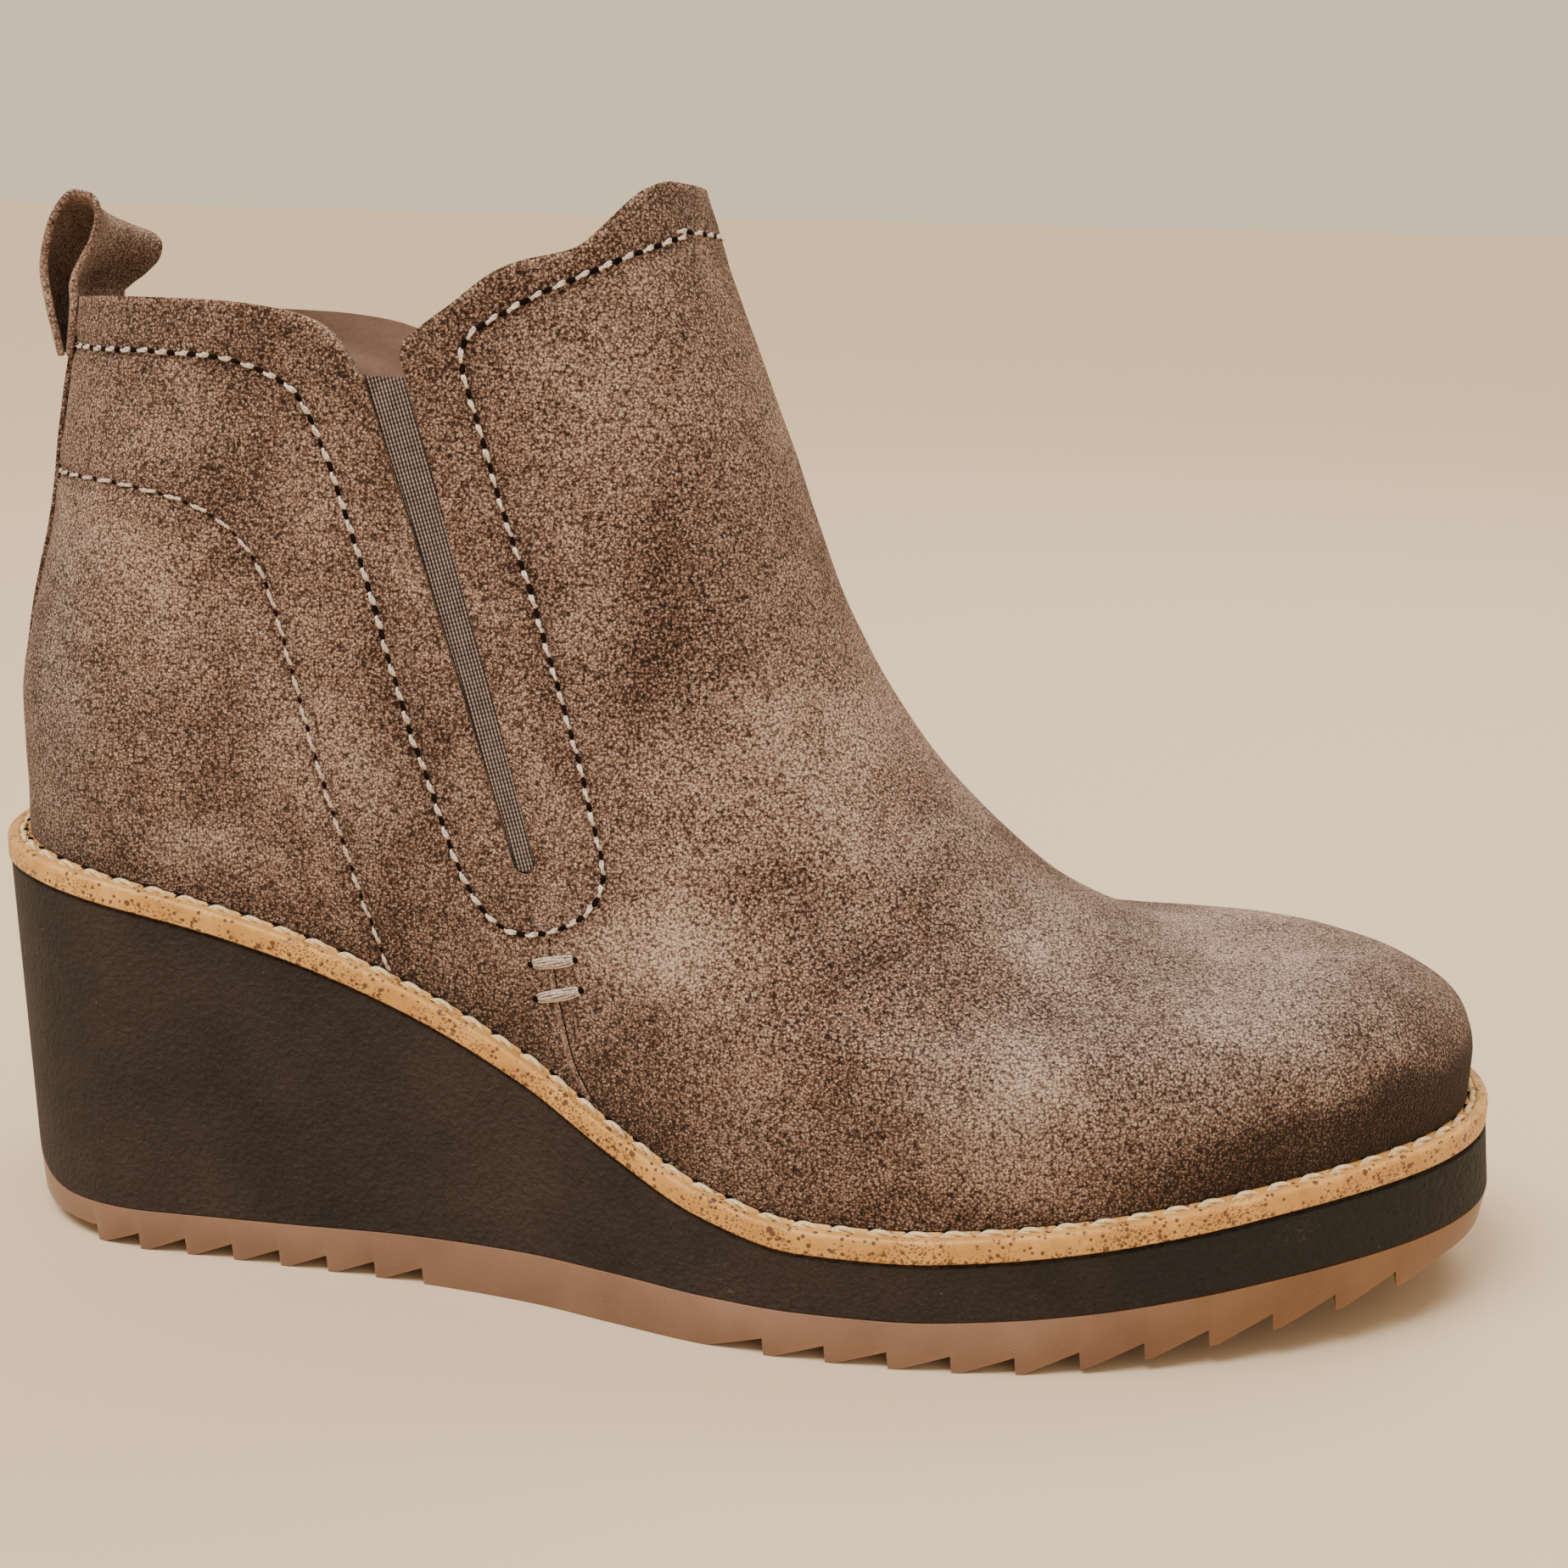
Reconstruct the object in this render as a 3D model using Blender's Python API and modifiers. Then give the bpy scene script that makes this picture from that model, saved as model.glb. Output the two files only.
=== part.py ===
"""Wedge ankle boot for the right foot, as an assembly of separate pieces.

+X runs from the heel to the toe, -Y is the outer side of the foot, +Z is up, in metres.
The pieces are modelled with x = 0 at the heel end of the welt and z = 0 on the floor.
One empty then carries them all, so that the origin is the centre of their outline, on the floor.
"""

import math
from collections import namedtuple

import bmesh
import bpy
from mathutils import Vector

# Sizes of the sole
LENGTH = 0.259  # welt, heel end to toe end
BALL_HALF = 0.048  # half of the welt's width at the ball
HEEL_ROUND = 0.033  # how far from the heel end the outline reaches its width
HEEL_FULLNESS = 2.05  # 2 is an ellipse, more is squarer
TOE_ROUND = 0.090  # the same, from the toe end
TOE_FULLNESS = 2.2
TOE_SWING = 0.009  # how far the toe end lies towards the inner side
PLATFORM = 0.018  # floor to the welt at the ball
HEEL_LIFT = 0.049  # how much higher the welt lies at the heel
WELT_SPRING = 0.010  # how much higher it lies at the toe
TREAD_SPRING = 0.010  # floor to the tread at the toe
OUTSOLE = 0.008  # floor to the wedge at the ball
WAIST_EXTRA = 0.0014  # what the outsole is thicker by under the waist
HEEL_LESS = 0.00084  # what it is thinner by under the heel
SOLE_SPRING = 0.0085  # how much higher the wedge's underside lies at the toe
HEEL_RAKE = 0.0026  # how far forward the heel's back leans, from the welt to the floor
TOE_LEAN = 0.0012  # how far the sole's front stands out in front of the welt, above the tread
TREAD_FRONT = 0.0004  # the same, at the tread
SIDE_DRAFT = 0.001  # how far the sides come in, from the welt to the floor
JOINT_RAKE = 0.002  # how far forward the heel's back leans where outsole and wedge meet
JOINT_DRAFT = 0.00085  # how far the sides come in there
WEDGE_INSET = 0.0004  # welt's edge to the wedge's, at the top
WEDGE_BEVEL = 0.0006  # bevel of the wedge's top edge
HEEL_WRAP = 0.009  # how far the outsole climbs the back of the wedge
HEEL_WRAP_REACH = 0.018
HEEL_BEVEL = 0.0024  # how far the outsole's underside lifts at the heel's back
HEEL_BEVEL_REACH = 0.010

# Saw-tooth tread
TOOTH_DEPTH = 0.0029
TOOTH_LAND = 0.0014  # flat tip of a tooth
TOOTH_RISER = 0.0003  # length of its upright face
HEEL_TREAD_START = 0.0228
HEEL_TOOTH = 0.0086
HEEL_TEETH = 7
BALL_TOOTH = 0.0100
BALL_TEETH = 10
TREAD_TOE_GAP = 0.0160  # last tooth to the toe end of the welt
BALL_TREAD_START = LENGTH - TREAD_TOE_GAP - BALL_TEETH * BALL_TOOTH
BALL_RAMP = 0.0094  # slope that leads from the flat waist up to the first tooth
HEEL_LIP = 0.0026  # height of the plain underside behind the teeth, over their tips
TOE_LIP = 0.0016  # the same, in front of the last tooth
TOE_LIP_RUN = 0.0067  # how far in front of it the underside reaches that height

# Welt and insole
WELT = 0.004
WELT_ROUND = 0.0008  # rounding of its top edge
WELT_SHOW = 0.0035  # what shows outside the upper
WELT_REACH = 0.0105  # its whole width
INSOLE = 0.003
INSOLE_EASE = 0.0006  # insole to the upper's inner face
INSOLE_TAPER = 0.0002  # how much further in its top edge lies
FIT = 0.0003  # clearance between pieces that touch

# Upper
WALL = 0.0022
QUARTER = 0.1035  # height of the loft over the welt, at the back
FRONT = 0.151  # the same, at the front
HEEL_CUP = 0.030  # rounding of the upper's back
COLLAR_BACK = 0.1588  # height of the collar's back edge
COLLAR_FRONT = 0.1790  # height of its front tab
COLLAR_DIP = 0.1478  # height of the collar at the gores
COLLAR_SLANT = 0.096  # how the collar falls from the outer side to the inner side

# Gores
GORE_TOP_AT = 0.0779  # place of the slot's upper end along the boot
GORE_FOOT_AT = 0.1018
GORE_FOOT = 0.0700  # height of its lower end
GORE_TOP_WIDTH = 0.0068
GORE_FOOT_WIDTH = 0.0038
GORE_SINK = 0.0007  # gore's face, below the upper's face
GORE_THICK = 0.0013

# Pull loop and back strap
LOOP_WIDTH = 0.021
LOOP_THICK = 0.0012
LOOP_GRIP = 0.0088  # collar's back edge down to the seam that holds its ends
LOOP_SEAM = COLLAR_BACK - LOOP_GRIP
LOOP_RISE = 0.0230  # seam to the top of the fold
LOOP_BULGE = 0.0075  # how far the fold reaches over the collar
STRAP_WIDTH = 0.010
STRAP_THICK = 0.0010
STRAP_FOOT = 0.0840  # height of its lower end
BACK_FIT = 0.0004  # clearance of both from the heel's curved face

OUTER, INNER = -1, 1
CLEAR = 0.070  # half length of a cutter, beyond either side of the boot

# Along is a share of LENGTH. Lift, spring, tread, waist and swing are shares of the heights and
# of the swing named above. Outer and inner are shares of BALL_HALF, before the ends are rounded.
Sole = namedtuple("Sole", "along lift spring tread waist outer inner swing")
SOLE = [
    Sole(0.000, 0.945, 0.00, 0.00, 0.0, 0.690, 0.690, 0.00),
    Sole(0.040, 0.942, 0.00, 0.00, 0.0, 0.690, 0.690, 0.00),
    Sole(0.076, 0.925, 0.00, 0.00, 0.0, 0.690, 0.690, 0.00),
    Sole(0.152, 0.860, 0.00, 0.00, 0.1, 0.700, 0.680, 0.00),
    Sole(0.232, 0.765, 0.00, 0.00, 0.4, 0.725, 0.655, 0.00),
    Sole(0.312, 0.620, 0.00, 0.00, 0.8, 0.755, 0.635, 0.00),
    Sole(0.392, 0.423, 0.00, 0.00, 0.9, 0.820, 0.640, 0.00),
    Sole(0.452, 0.238, 0.00, 0.00, 0.8, 0.910, 0.670, 0.00),
    Sole(0.512, 0.083, 0.00, 0.00, 0.4, 0.995, 0.735, 0.00),
    Sole(0.572, 0.008, 0.00, 0.00, 0.1, 1.040, 0.825, 0.00),
    Sole(0.632, 0.000, 0.02, 0.00, 0.0, 1.045, 0.905, 0.00),
    Sole(0.692, 0.000, 0.13, 0.00, 0.0, 1.030, 0.960, 0.04),
    Sole(0.752, 0.000, 0.29, 0.12, 0.0, 1.010, 0.980, 0.15),
    Sole(0.812, 0.000, 0.50, 0.31, 0.0, 0.990, 0.980, 0.32),
    Sole(0.872, 0.000, 0.73, 0.54, 0.0, 0.975, 0.960, 0.53),
    Sole(0.936, 0.000, 0.90, 0.79, 0.0, 0.960, 0.950, 0.76),
    Sole(1.000, 0.000, 1.00, 1.00, 0.0, 0.950, 0.940, 1.00),
]

# Rings of the upper, from the welt to above the collar. Back and front are where a ring meets the
# boot's back and front, as shares of LENGTH. Back_up and front_up are its heights there over the
# welt, as shares of QUARTER and FRONT. Outer and inner scale its width. Cup and nose are the
# lengths of its rounded ends, as shares of HEEL_CUP and TOE_ROUND.
Ring = namedtuple("Ring", "back back_up front front_up outer inner cup nose")
RINGS = [
    Ring(0.0148, 0.000, 0.9864, 0.000, 1.000, 1.000, 1.00, 0.96),
    Ring(0.0162, 0.093, 0.9869, 0.050, 1.012, 1.012, 1.00, 0.97),
    Ring(0.0162, 0.170, 0.9804, 0.094, 1.015, 1.015, 1.00, 1.00),
    Ring(0.0164, 0.237, 0.9548, 0.133, 1.010, 1.010, 1.02, 1.02),
    Ring(0.0210, 0.305, 0.9036, 0.168, 1.000, 1.000, 1.05, 1.08),
    Ring(0.0264, 0.372, 0.8173, 0.192, 0.985, 0.990, 1.08, 1.12),
    Ring(0.0334, 0.440, 0.7290, 0.259, 0.970, 0.980, 1.12, 1.02),
    Ring(0.0407, 0.507, 0.6727, 0.343, 0.950, 0.970, 1.16, 0.90),
    Ring(0.0462, 0.575, 0.6180, 0.448, 0.930, 0.970, 1.20, 0.82),
    Ring(0.0502, 0.643, 0.5719, 0.580, 0.910, 0.980, 1.24, 0.76),
    Ring(0.0557, 0.720, 0.5347, 0.731, 0.890, 0.990, 1.28, 0.70),
    Ring(0.0627, 0.807, 0.5051, 0.846, 0.875, 1.000, 1.32, 0.65),
    Ring(0.0672, 0.904, 0.4835, 0.926, 0.865, 1.005, 1.36, 0.61),
    Ring(0.0687, 1.000, 0.4675, 1.000, 0.855, 1.010, 1.40, 0.60),
]
RING_STEPS = 2  # rings of the mesh for each row of the table
ROUND_STEPS = 28  # points of a ring along each side

# The collar's edge from the back to the front. Along is a share of LENGTH. Back, dip and tab are
# the weights of the three named collar heights.
Collar = namedtuple("Collar", "along back dip tab")
COLLAR = [
    Collar(-0.10, 1.00, 0.00, 0.00),
    Collar(0.113, 1.00, 0.00, 0.00),
    Collar(0.193, 0.97, 0.03, 0.00),
    Collar(0.232, 0.88, 0.12, 0.00),
    Collar(0.255, 0.74, 0.26, 0.00),
    Collar(0.269, 0.52, 0.48, 0.00),
    Collar(0.278, 0.24, 0.76, 0.00),
    Collar(0.284, 0.00, 1.00, 0.00),
    Collar(0.309, 0.00, 1.00, 0.00),
    Collar(0.311, 0.00, 0.87, 0.13),
    Collar(0.323, 0.00, 0.77, 0.23),
    Collar(0.342, 0.00, 0.655, 0.345),
    Collar(0.370, 0.00, 0.48, 0.52),
    Collar(0.386, 0.00, 0.425, 0.575),
    Collar(0.403, 0.00, 0.39, 0.61),
    Collar(0.416, 0.00, 0.355, 0.645),
    Collar(0.428, 0.00, 0.265, 0.735),
    Collar(0.439, 0.00, 0.155, 0.845),
    Collar(0.450, 0.00, 0.055, 0.945),
    Collar(0.463, 0.00, 0.00, 1.00),
    Collar(0.70, 0.00, 0.00, 1.00),
]

# The fold of the pull loop, from its front end over the top and down to its back end. Forward is
# a share of LOOP_BULGE in front of the heel's back face, up a share of LOOP_RISE over the seam,
# and skew how much of the bulge is added towards the inner side.
Fold = namedtuple("Fold", "forward up skew")
FOLD = [
    Fold(-0.12, 0.00, 0.0),
    Fold(-0.12, 0.22, 0.0),
    Fold(-0.12, 0.44, 0.0),
    Fold(0.00, 0.52, 0.4),
    Fold(0.30, 0.63, 0.9),
    Fold(0.60, 0.76, 1.0),
    Fold(0.70, 0.88, 0.8),
    Fold(0.50, 0.98, 0.5),
    Fold(0.08, 1.00, 0.3),
    Fold(-0.34, 0.92, 0.1),
    Fold(-0.64, 0.76, 0.0),
    Fold(-0.78, 0.56, 0.0),
    Fold(-0.70, 0.36, 0.0),
    Fold(-0.50, 0.17, 0.0),
    Fold(-0.31, 0.00, 0.0),
]
FOLD_SKEW = 0.0014  # what a skew of 1 adds to the bulge at the inner edge
FOLD_DROP = 0.15  # share of its rise by which the inner side lies lower, the outer side higher


def read_table(rows, column, at, key):
    """A column of a table at a value of its key column, on a smooth curve that never overshoots."""
    keys = [getattr(row, key) for row in rows]
    values = [getattr(row, column) for row in rows]
    return read_curve(keys, values, at)


def read_curve(keys, values, at):
    if at <= keys[0]:
        return values[0]
    if at >= keys[-1]:
        return values[-1]
    i = max(j for j in range(len(keys) - 1) if keys[j] <= at)
    step = keys[i + 1] - keys[i]
    slope = (values[i + 1] - values[i]) / step

    def tangent(j):
        if j <= 0 or j >= len(keys) - 1:
            return slope
        before = (values[j] - values[j - 1]) / (keys[j] - keys[j - 1])
        after = (values[j + 1] - values[j]) / (keys[j + 1] - keys[j])
        if before * after <= 0:
            return 0.0
        return 2 * before * after / (before + after)

    t = (at - keys[i]) / step
    start, end = tangent(i) * step, tangent(i + 1) * step
    return (
        values[i] * (2 * t**3 - 3 * t**2 + 1)
        + start * (t**3 - 2 * t**2 + t)
        + values[i + 1] * (3 * t**2 - 2 * t**3)
        + end * (t**3 - t**2)
    )


def sole(column, x):
    return read_table(SOLE, column, x / LENGTH, "along")


def rounding(distance, length, fullness=2.0):
    """Share of the full width at a distance from a rounded end."""
    t = min(max(distance / length, 0.0), 1.0)
    return (1 - (1 - t) ** fullness) ** (1 / fullness)


# Heights of the sole

def welt_base(x):
    return PLATFORM + HEEL_LIFT * sole("lift", x) + WELT_SPRING * sole("spring", x)


def outsole_top(x, back):
    wrap = 1 - min(max((x - back) / HEEL_WRAP_REACH, 0.0), 1.0)
    return (
        OUTSOLE
        + WAIST_EXTRA * sole("waist", x)
        - HEEL_LESS * sole("lift", x)
        + SOLE_SPRING * sole("spring", x)
        + HEEL_WRAP * wrap**3
    )


def tread_base(x, back):
    bevel = 1 - min(max((x - back) / HEEL_BEVEL_REACH, 0.0), 1.0)
    return TREAD_SPRING * sole("tread", x) + HEEL_BEVEL * bevel**2


def upper_base(x):
    return welt_base(x) + FIT + WELT + FIT


# Outlines, each a list of stations (x, outer y, inner y)

def edge(x, side, back, front, inset):
    """y of an outline that runs from back to front and lies inset from the welt's edge."""
    width = BALL_HALF * sole("outer" if side == OUTER else "inner", x) - inset
    ends = rounding(x - back, HEEL_ROUND - inset, HEEL_FULLNESS)
    ends *= rounding(front - x, TOE_ROUND - inset, TOE_FULLNESS)
    return side * width * ends + TOE_SWING * sole("swing", x)


def sole_stations(extra=(), heel_steps=8, toe_steps=13, spacing=0.010):
    """Places along the sole, close together at its round ends."""
    places = {0.0, LENGTH}
    places |= {
        HEEL_ROUND * (1 - math.cos(i * math.pi / 2 / heel_steps))
        for i in range(1, heel_steps + 1)
    }
    places |= {
        LENGTH - TOE_ROUND * (1 - math.cos(i * math.pi / 2 / toe_steps))
        for i in range(1, toe_steps + 1)
    }
    straight = LENGTH - TOE_ROUND - HEEL_ROUND
    count = round(straight / spacing)
    places |= {HEEL_ROUND + straight * i / count for i in range(1, count)}
    if extra:
        clear = 0.35 * spacing
        places = {
            x
            for x in places
            if x < extra[0] - clear or x > extra[-1] + clear or x in (0.0, LENGTH)
        }
    return sorted(places | set(extra))


def outline(stations, back, front, inset):
    """The stations moved to run from back to front, with the widths there."""
    share = (front - back) / LENGTH
    places = [back + x * share for x in stations]
    return [
        (x, edge(x, OUTER, back, front, inset), edge(x, INNER, back, front, inset))
        for x in places
    ]


# Meshes

def new_object(name, mesh_data, material, collection):
    obj = bpy.data.objects.new(name, mesh_data)
    collection.objects.link(obj)
    if material:
        mesh_data.materials.append(material)
    return obj


def mesh_from(name, points, faces):
    """A mesh with its doubles merged and its faces pointing out."""
    mesh = bpy.data.meshes.new(name)
    mesh.from_pydata(points, [], faces)
    bm = bmesh.new()
    bm.from_mesh(mesh)
    bmesh.ops.remove_doubles(bm, verts=bm.verts, dist=1e-6)
    bmesh.ops.dissolve_degenerate(bm, edges=bm.edges, dist=1e-7)
    bmesh.ops.recalc_face_normals(bm, faces=bm.faces)
    bm.to_mesh(mesh)
    bm.free()
    return mesh


def slab_mesh(name, rings):
    """A closed body through rings of stations (x, outer y, inner y, z), with ruled ends."""
    points, faces = [], []
    count = len(rings[0])
    for ring in rings:
        for x, outer, inner, z in ring:
            points += [(x, outer, z), (x, inner, z)]
    for k in range(len(rings) - 1):
        for i in range(count - 1):
            a, b = 2 * (k * count + i), 2 * ((k + 1) * count + i)
            faces += [(a, a + 2, b + 2, b), (a + 3, a + 1, b + 1, b + 3)]
    last = 2 * (len(rings) - 1) * count
    for i in range(count - 1):
        a, b = 2 * i, last + 2 * i
        faces += [(a, a + 1, a + 3, a + 2), (b, b + 2, b + 3, b + 1)]
    return mesh_from(name, points, faces)


def band_mesh(name, loops):
    """A closed ring through loops of points, the last joined to the first."""
    count = len(loops[0])
    points = [p for loop in loops for p in loop]
    faces = []
    for k in range(len(loops)):
        for i in range(count):
            j, n = (i + 1) % count, (k + 1) % len(loops)
            faces.append(
                (k * count + i, k * count + j, n * count + j, n * count + i)
            )
    return mesh_from(name, points, faces)


def prism_mesh(name, profile, near, far, slant):
    """A side-view profile (x, z) carried from y = near to y = far, falling by slant on the way."""
    count = len(profile)
    points = [(x, y, z - slant * y) for y in (near, far) for x, z in profile]
    faces = [tuple(range(count)), tuple(range(2 * count - 1, count - 1, -1))]
    for i in range(count):
        j = (i + 1) % count
        faces.append((i, j, count + j, count + i))
    return mesh_from(name, points, faces)


def add_boolean(obj, operation, cutter):
    modifier = obj.modifiers.new(operation.title(), "BOOLEAN")
    modifier.operation = operation
    modifier.object = cutter
    modifier.solver = "EXACT"


def add_wall(obj, thickness):
    modifier = obj.modifiers.new("Wall", "SOLIDIFY")
    modifier.thickness = thickness
    modifier.offset = -1
    modifier.use_even_offset = True


# Pieces of the sole

def tread_profile(back, front):
    """Places and heights of the outsole's underside, with its two runs of saw teeth."""
    profile = []

    def run_of_teeth(start, pitch, count):
        for i in range(count + 1):
            riser = start + i * pitch
            low = tread_base(riser, back)
            profile.append((riser - TOOTH_RISER / 2, low + TOOTH_DEPTH))
            profile.append((riser + TOOTH_RISER / 2, low))
            profile.append((riser + TOOTH_LAND, tread_base(riser + TOOTH_LAND, back)))

    run_of_teeth(HEEL_TREAD_START, HEEL_TOOTH, HEEL_TEETH)
    flat_end = BALL_TREAD_START - BALL_RAMP
    for i in range(1, 5):
        x = profile[-1][0] + (flat_end - profile[-1][0]) * i / 4
        profile.append((x, tread_base(x, back)))
    run_of_teeth(BALL_TREAD_START, BALL_TOOTH, BALL_TEETH)
    return profile


def make_outsole(material, collection):
    back, front = HEEL_RAKE, LENGTH + TREAD_FRONT
    teeth = tread_profile(back, front)
    share = (front - back) / LENGTH
    stations = sole_stations(extra=[(x - back) / share for x, _ in teeth])
    heel_end, toe_start = teeth[0], teeth[-1]
    heights = dict(teeth)

    def underside(x):
        for place, height in teeth:
            if abs(place - x) < 1e-7:
                return heights[place]
        if x < heel_end[0]:
            return tread_base(x, back) + HEEL_LIP
        blend = min((x - toe_start[0]) / TOE_LIP_RUN, 1.0)
        return tread_base(x, back) + TOE_LIP * blend

    low = outline(stations, back, front, SIDE_DRAFT)
    high = outline(stations, JOINT_RAKE, LENGTH + TOE_LEAN, JOINT_DRAFT)
    rings = [
        [(x, outer, inner, underside(x)) for x, outer, inner in low],
        [(x, outer, inner, outsole_top(x, JOINT_RAKE)) for x, outer, inner in high],
    ]
    return new_object("outsole", slab_mesh("outsole", rings), material, collection)


def make_wedge(material, collection):
    stations = sole_stations()
    inset = WEDGE_INSET + WEDGE_BEVEL
    bottom = outline(stations, JOINT_RAKE, LENGTH + TOE_LEAN, JOINT_DRAFT)
    top = outline(stations, WEDGE_INSET, LENGTH, WEDGE_INSET)
    rim = outline(stations, inset, LENGTH - inset, inset)
    rings = [
        [(x, o, i, outsole_top(x, JOINT_RAKE) + FIT) for x, o, i in bottom],
        [(x, o, i, welt_base(x) - WEDGE_BEVEL) for x, o, i in top],
        [(x, o, i, welt_base(x)) for x, o, i in rim],
    ]
    return new_object("wedge", slab_mesh("wedge", rings), material, collection)


def closed_loop(stations, inset, height):
    """The points round an outline at an inset, at heights given by a function of x."""
    line = outline(stations, inset, LENGTH - inset, inset)
    outer = [(x, o, height(x)) for x, o, _ in line]
    inner = [(x, i, height(x)) for x, _, i in line[-2:0:-1]]
    return outer + inner


def make_welt(material, collection):
    stations = sole_stations()

    def bottom(x):
        return welt_base(x) + FIT

    def top(x):
        return bottom(x) + WELT

    loops = [
        closed_loop(stations, WELT_REACH, bottom),
        closed_loop(stations, 0.0, bottom),
        closed_loop(stations, 0.0, lambda x: top(x) - WELT_ROUND),
        closed_loop(stations, WELT_ROUND, top),
        closed_loop(stations, WELT_REACH, top),
    ]
    return new_object("welt", band_mesh("welt", loops), material, collection)


def make_insole(material, collection):
    """A footbed whose core fills the welt and whose rim lies on it, inside the upper."""
    stations = sole_stations()
    core = WELT_REACH + FIT
    rim = WELT_SHOW + WALL + INSOLE_EASE

    def ring(inset, height):
        line = outline(stations, inset, LENGTH - inset, inset)
        return [(x, o, i, height(x)) for x, o, i in line]

    rings = [
        ring(core, lambda x: welt_base(x) + FIT),
        ring(core, upper_base),
        ring(rim, upper_base),
        ring(rim + INSOLE_TAPER, lambda x: upper_base(x) + INSOLE),
    ]
    return new_object("insole", slab_mesh("insole", rings), material, collection)


# Upper

def ring_value(column, level):
    return read_curve(range(len(RINGS)), [getattr(r, column) for r in RINGS], level)


def ring_point(level, share, side):
    """A point of the upper's outer face: level counts rows of RINGS, share runs back to front."""
    back = ring_value("back", level) * LENGTH
    front = ring_value("front", level) * LENGTH
    x = back + share * (front - back)
    up = (1 - share) * ring_value("back_up", level) * QUARTER
    up += share * ring_value("front_up", level) * FRONT
    column = "outer" if side == OUTER else "inner"
    width = (BALL_HALF * sole(column, x) - WELT_SHOW) * ring_value(column, level)
    ends = rounding(x - back, HEEL_CUP * ring_value("cup", level), HEEL_FULLNESS)
    ends *= rounding(front - x, TOE_ROUND * ring_value("nose", level), TOE_FULLNESS)
    return Vector((x, side * width * ends + TOE_SWING * sole("swing", x), upper_base(x) + up))


def upper_surface(name, sink=0.0):
    """The open tube of the upper's outer face, sunk inwards by sink."""
    levels = (len(RINGS) - 1) * RING_STEPS
    shares = [
        (1 - math.cos(math.pi * i / ROUND_STEPS)) / 2 for i in range(ROUND_STEPS + 1)
    ]
    places = [(s, OUTER) for s in shares] + [(s, INNER) for s in shares[-2:0:-1]]
    bm = bmesh.new()
    rows = [
        [bm.verts.new(ring_point(k / RING_STEPS, s, side)) for s, side in places]
        for k in range(levels + 1)
    ]
    for low, high in zip(rows, rows[1:]):
        for i in range(len(low)):
            j = (i + 1) % len(low)
            bm.faces.new((low[i], low[j], high[j], high[i]))
    bmesh.ops.recalc_face_normals(bm, faces=bm.faces)
    bm.normal_update()
    if sum(f.normal.y * f.calc_center_median().y for f in bm.faces) < 0:
        bmesh.ops.reverse_faces(bm, faces=bm.faces)
        bm.normal_update()
    for vert in bm.verts:
        vert.co -= vert.normal * sink
    mesh = bpy.data.meshes.new(name)
    bm.to_mesh(mesh)
    bm.free()
    return mesh


def collar_height(x):
    at = x / LENGTH
    return (
        COLLAR_BACK * read_table(COLLAR, "back", at, "along")
        + COLLAR_DIP * read_table(COLLAR, "dip", at, "along")
        + COLLAR_FRONT * read_table(COLLAR, "tab", at, "along")
    )


def collar_cutter(collection):
    """Everything above the collar's edge."""
    edge_line = [(row.along * LENGTH, collar_height(row.along * LENGTH)) for row in COLLAR]
    ceiling = COLLAR_FRONT + CLEAR
    profile = edge_line + [(edge_line[-1][0], ceiling), (edge_line[0][0], ceiling)]
    mesh = prism_mesh("collar_cutter", profile, -CLEAR, CLEAR, COLLAR_SLANT)
    return cutter_object("collar_cutter", mesh, collection)


def gore_profile(inset, top):
    """Side view of a gore's slot, round at its foot, up to a height."""
    foot, head = Vector((GORE_FOOT_AT, GORE_FOOT)), Vector((GORE_TOP_AT, COLLAR_DIP))
    run = (head - foot).normalized()
    across = Vector((-run.y, run.x))
    foot_half = GORE_FOOT_WIDTH / 2 - inset
    head_half = GORE_TOP_WIDTH / 2 - inset
    centre = foot + run * (GORE_FOOT_WIDTH / 2)
    arc = [
        centre + (across * math.cos(a) - run * math.sin(a)) * foot_half
        for a in (math.pi * i / 6 for i in range(7))
    ]

    def end(start, stop):
        return start + (stop - start) * ((top - start.y) / (stop.y - start.y))

    left = end(arc[0], head + across * head_half)
    right = end(arc[-1], head - across * head_half)
    return [left] + arc + [right]


def cutter_object(name, mesh, collection):
    obj = new_object(name, mesh, None, collection)
    obj.hide_render = True
    obj.display_type = "WIRE"
    return obj


def make_upper(material, collection, cutters, collar):
    upper = new_object("upper", upper_surface("upper"), material, collection)
    add_wall(upper, WALL)
    slot = prism_mesh("slot", gore_profile(0.0, COLLAR_FRONT), -CLEAR, CLEAR, COLLAR_SLANT)
    add_boolean(upper, "DIFFERENCE", collar)
    add_boolean(upper, "DIFFERENCE", cutter_object("gore_cutter", slot, cutters))
    return upper


def make_gore(name, side, material, collection, cutters):
    """Elastic gore: the upper's own form, a little lower, kept inside the slot."""
    gore = new_object(name, upper_surface(name, sink=GORE_SINK), material, collection)
    add_wall(gore, GORE_THICK)
    profile = gore_profile(FIT, COLLAR_DIP - FIT)
    near, far = sorted((0.0, side * CLEAR))
    slot = prism_mesh(name + "_slot", profile, near, far, COLLAR_SLANT)
    add_boolean(gore, "INTERSECT", cutter_object(name + "_slot", slot, cutters))
    return gore


# Pull loop and back strap, which follow the heel's back face

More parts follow.
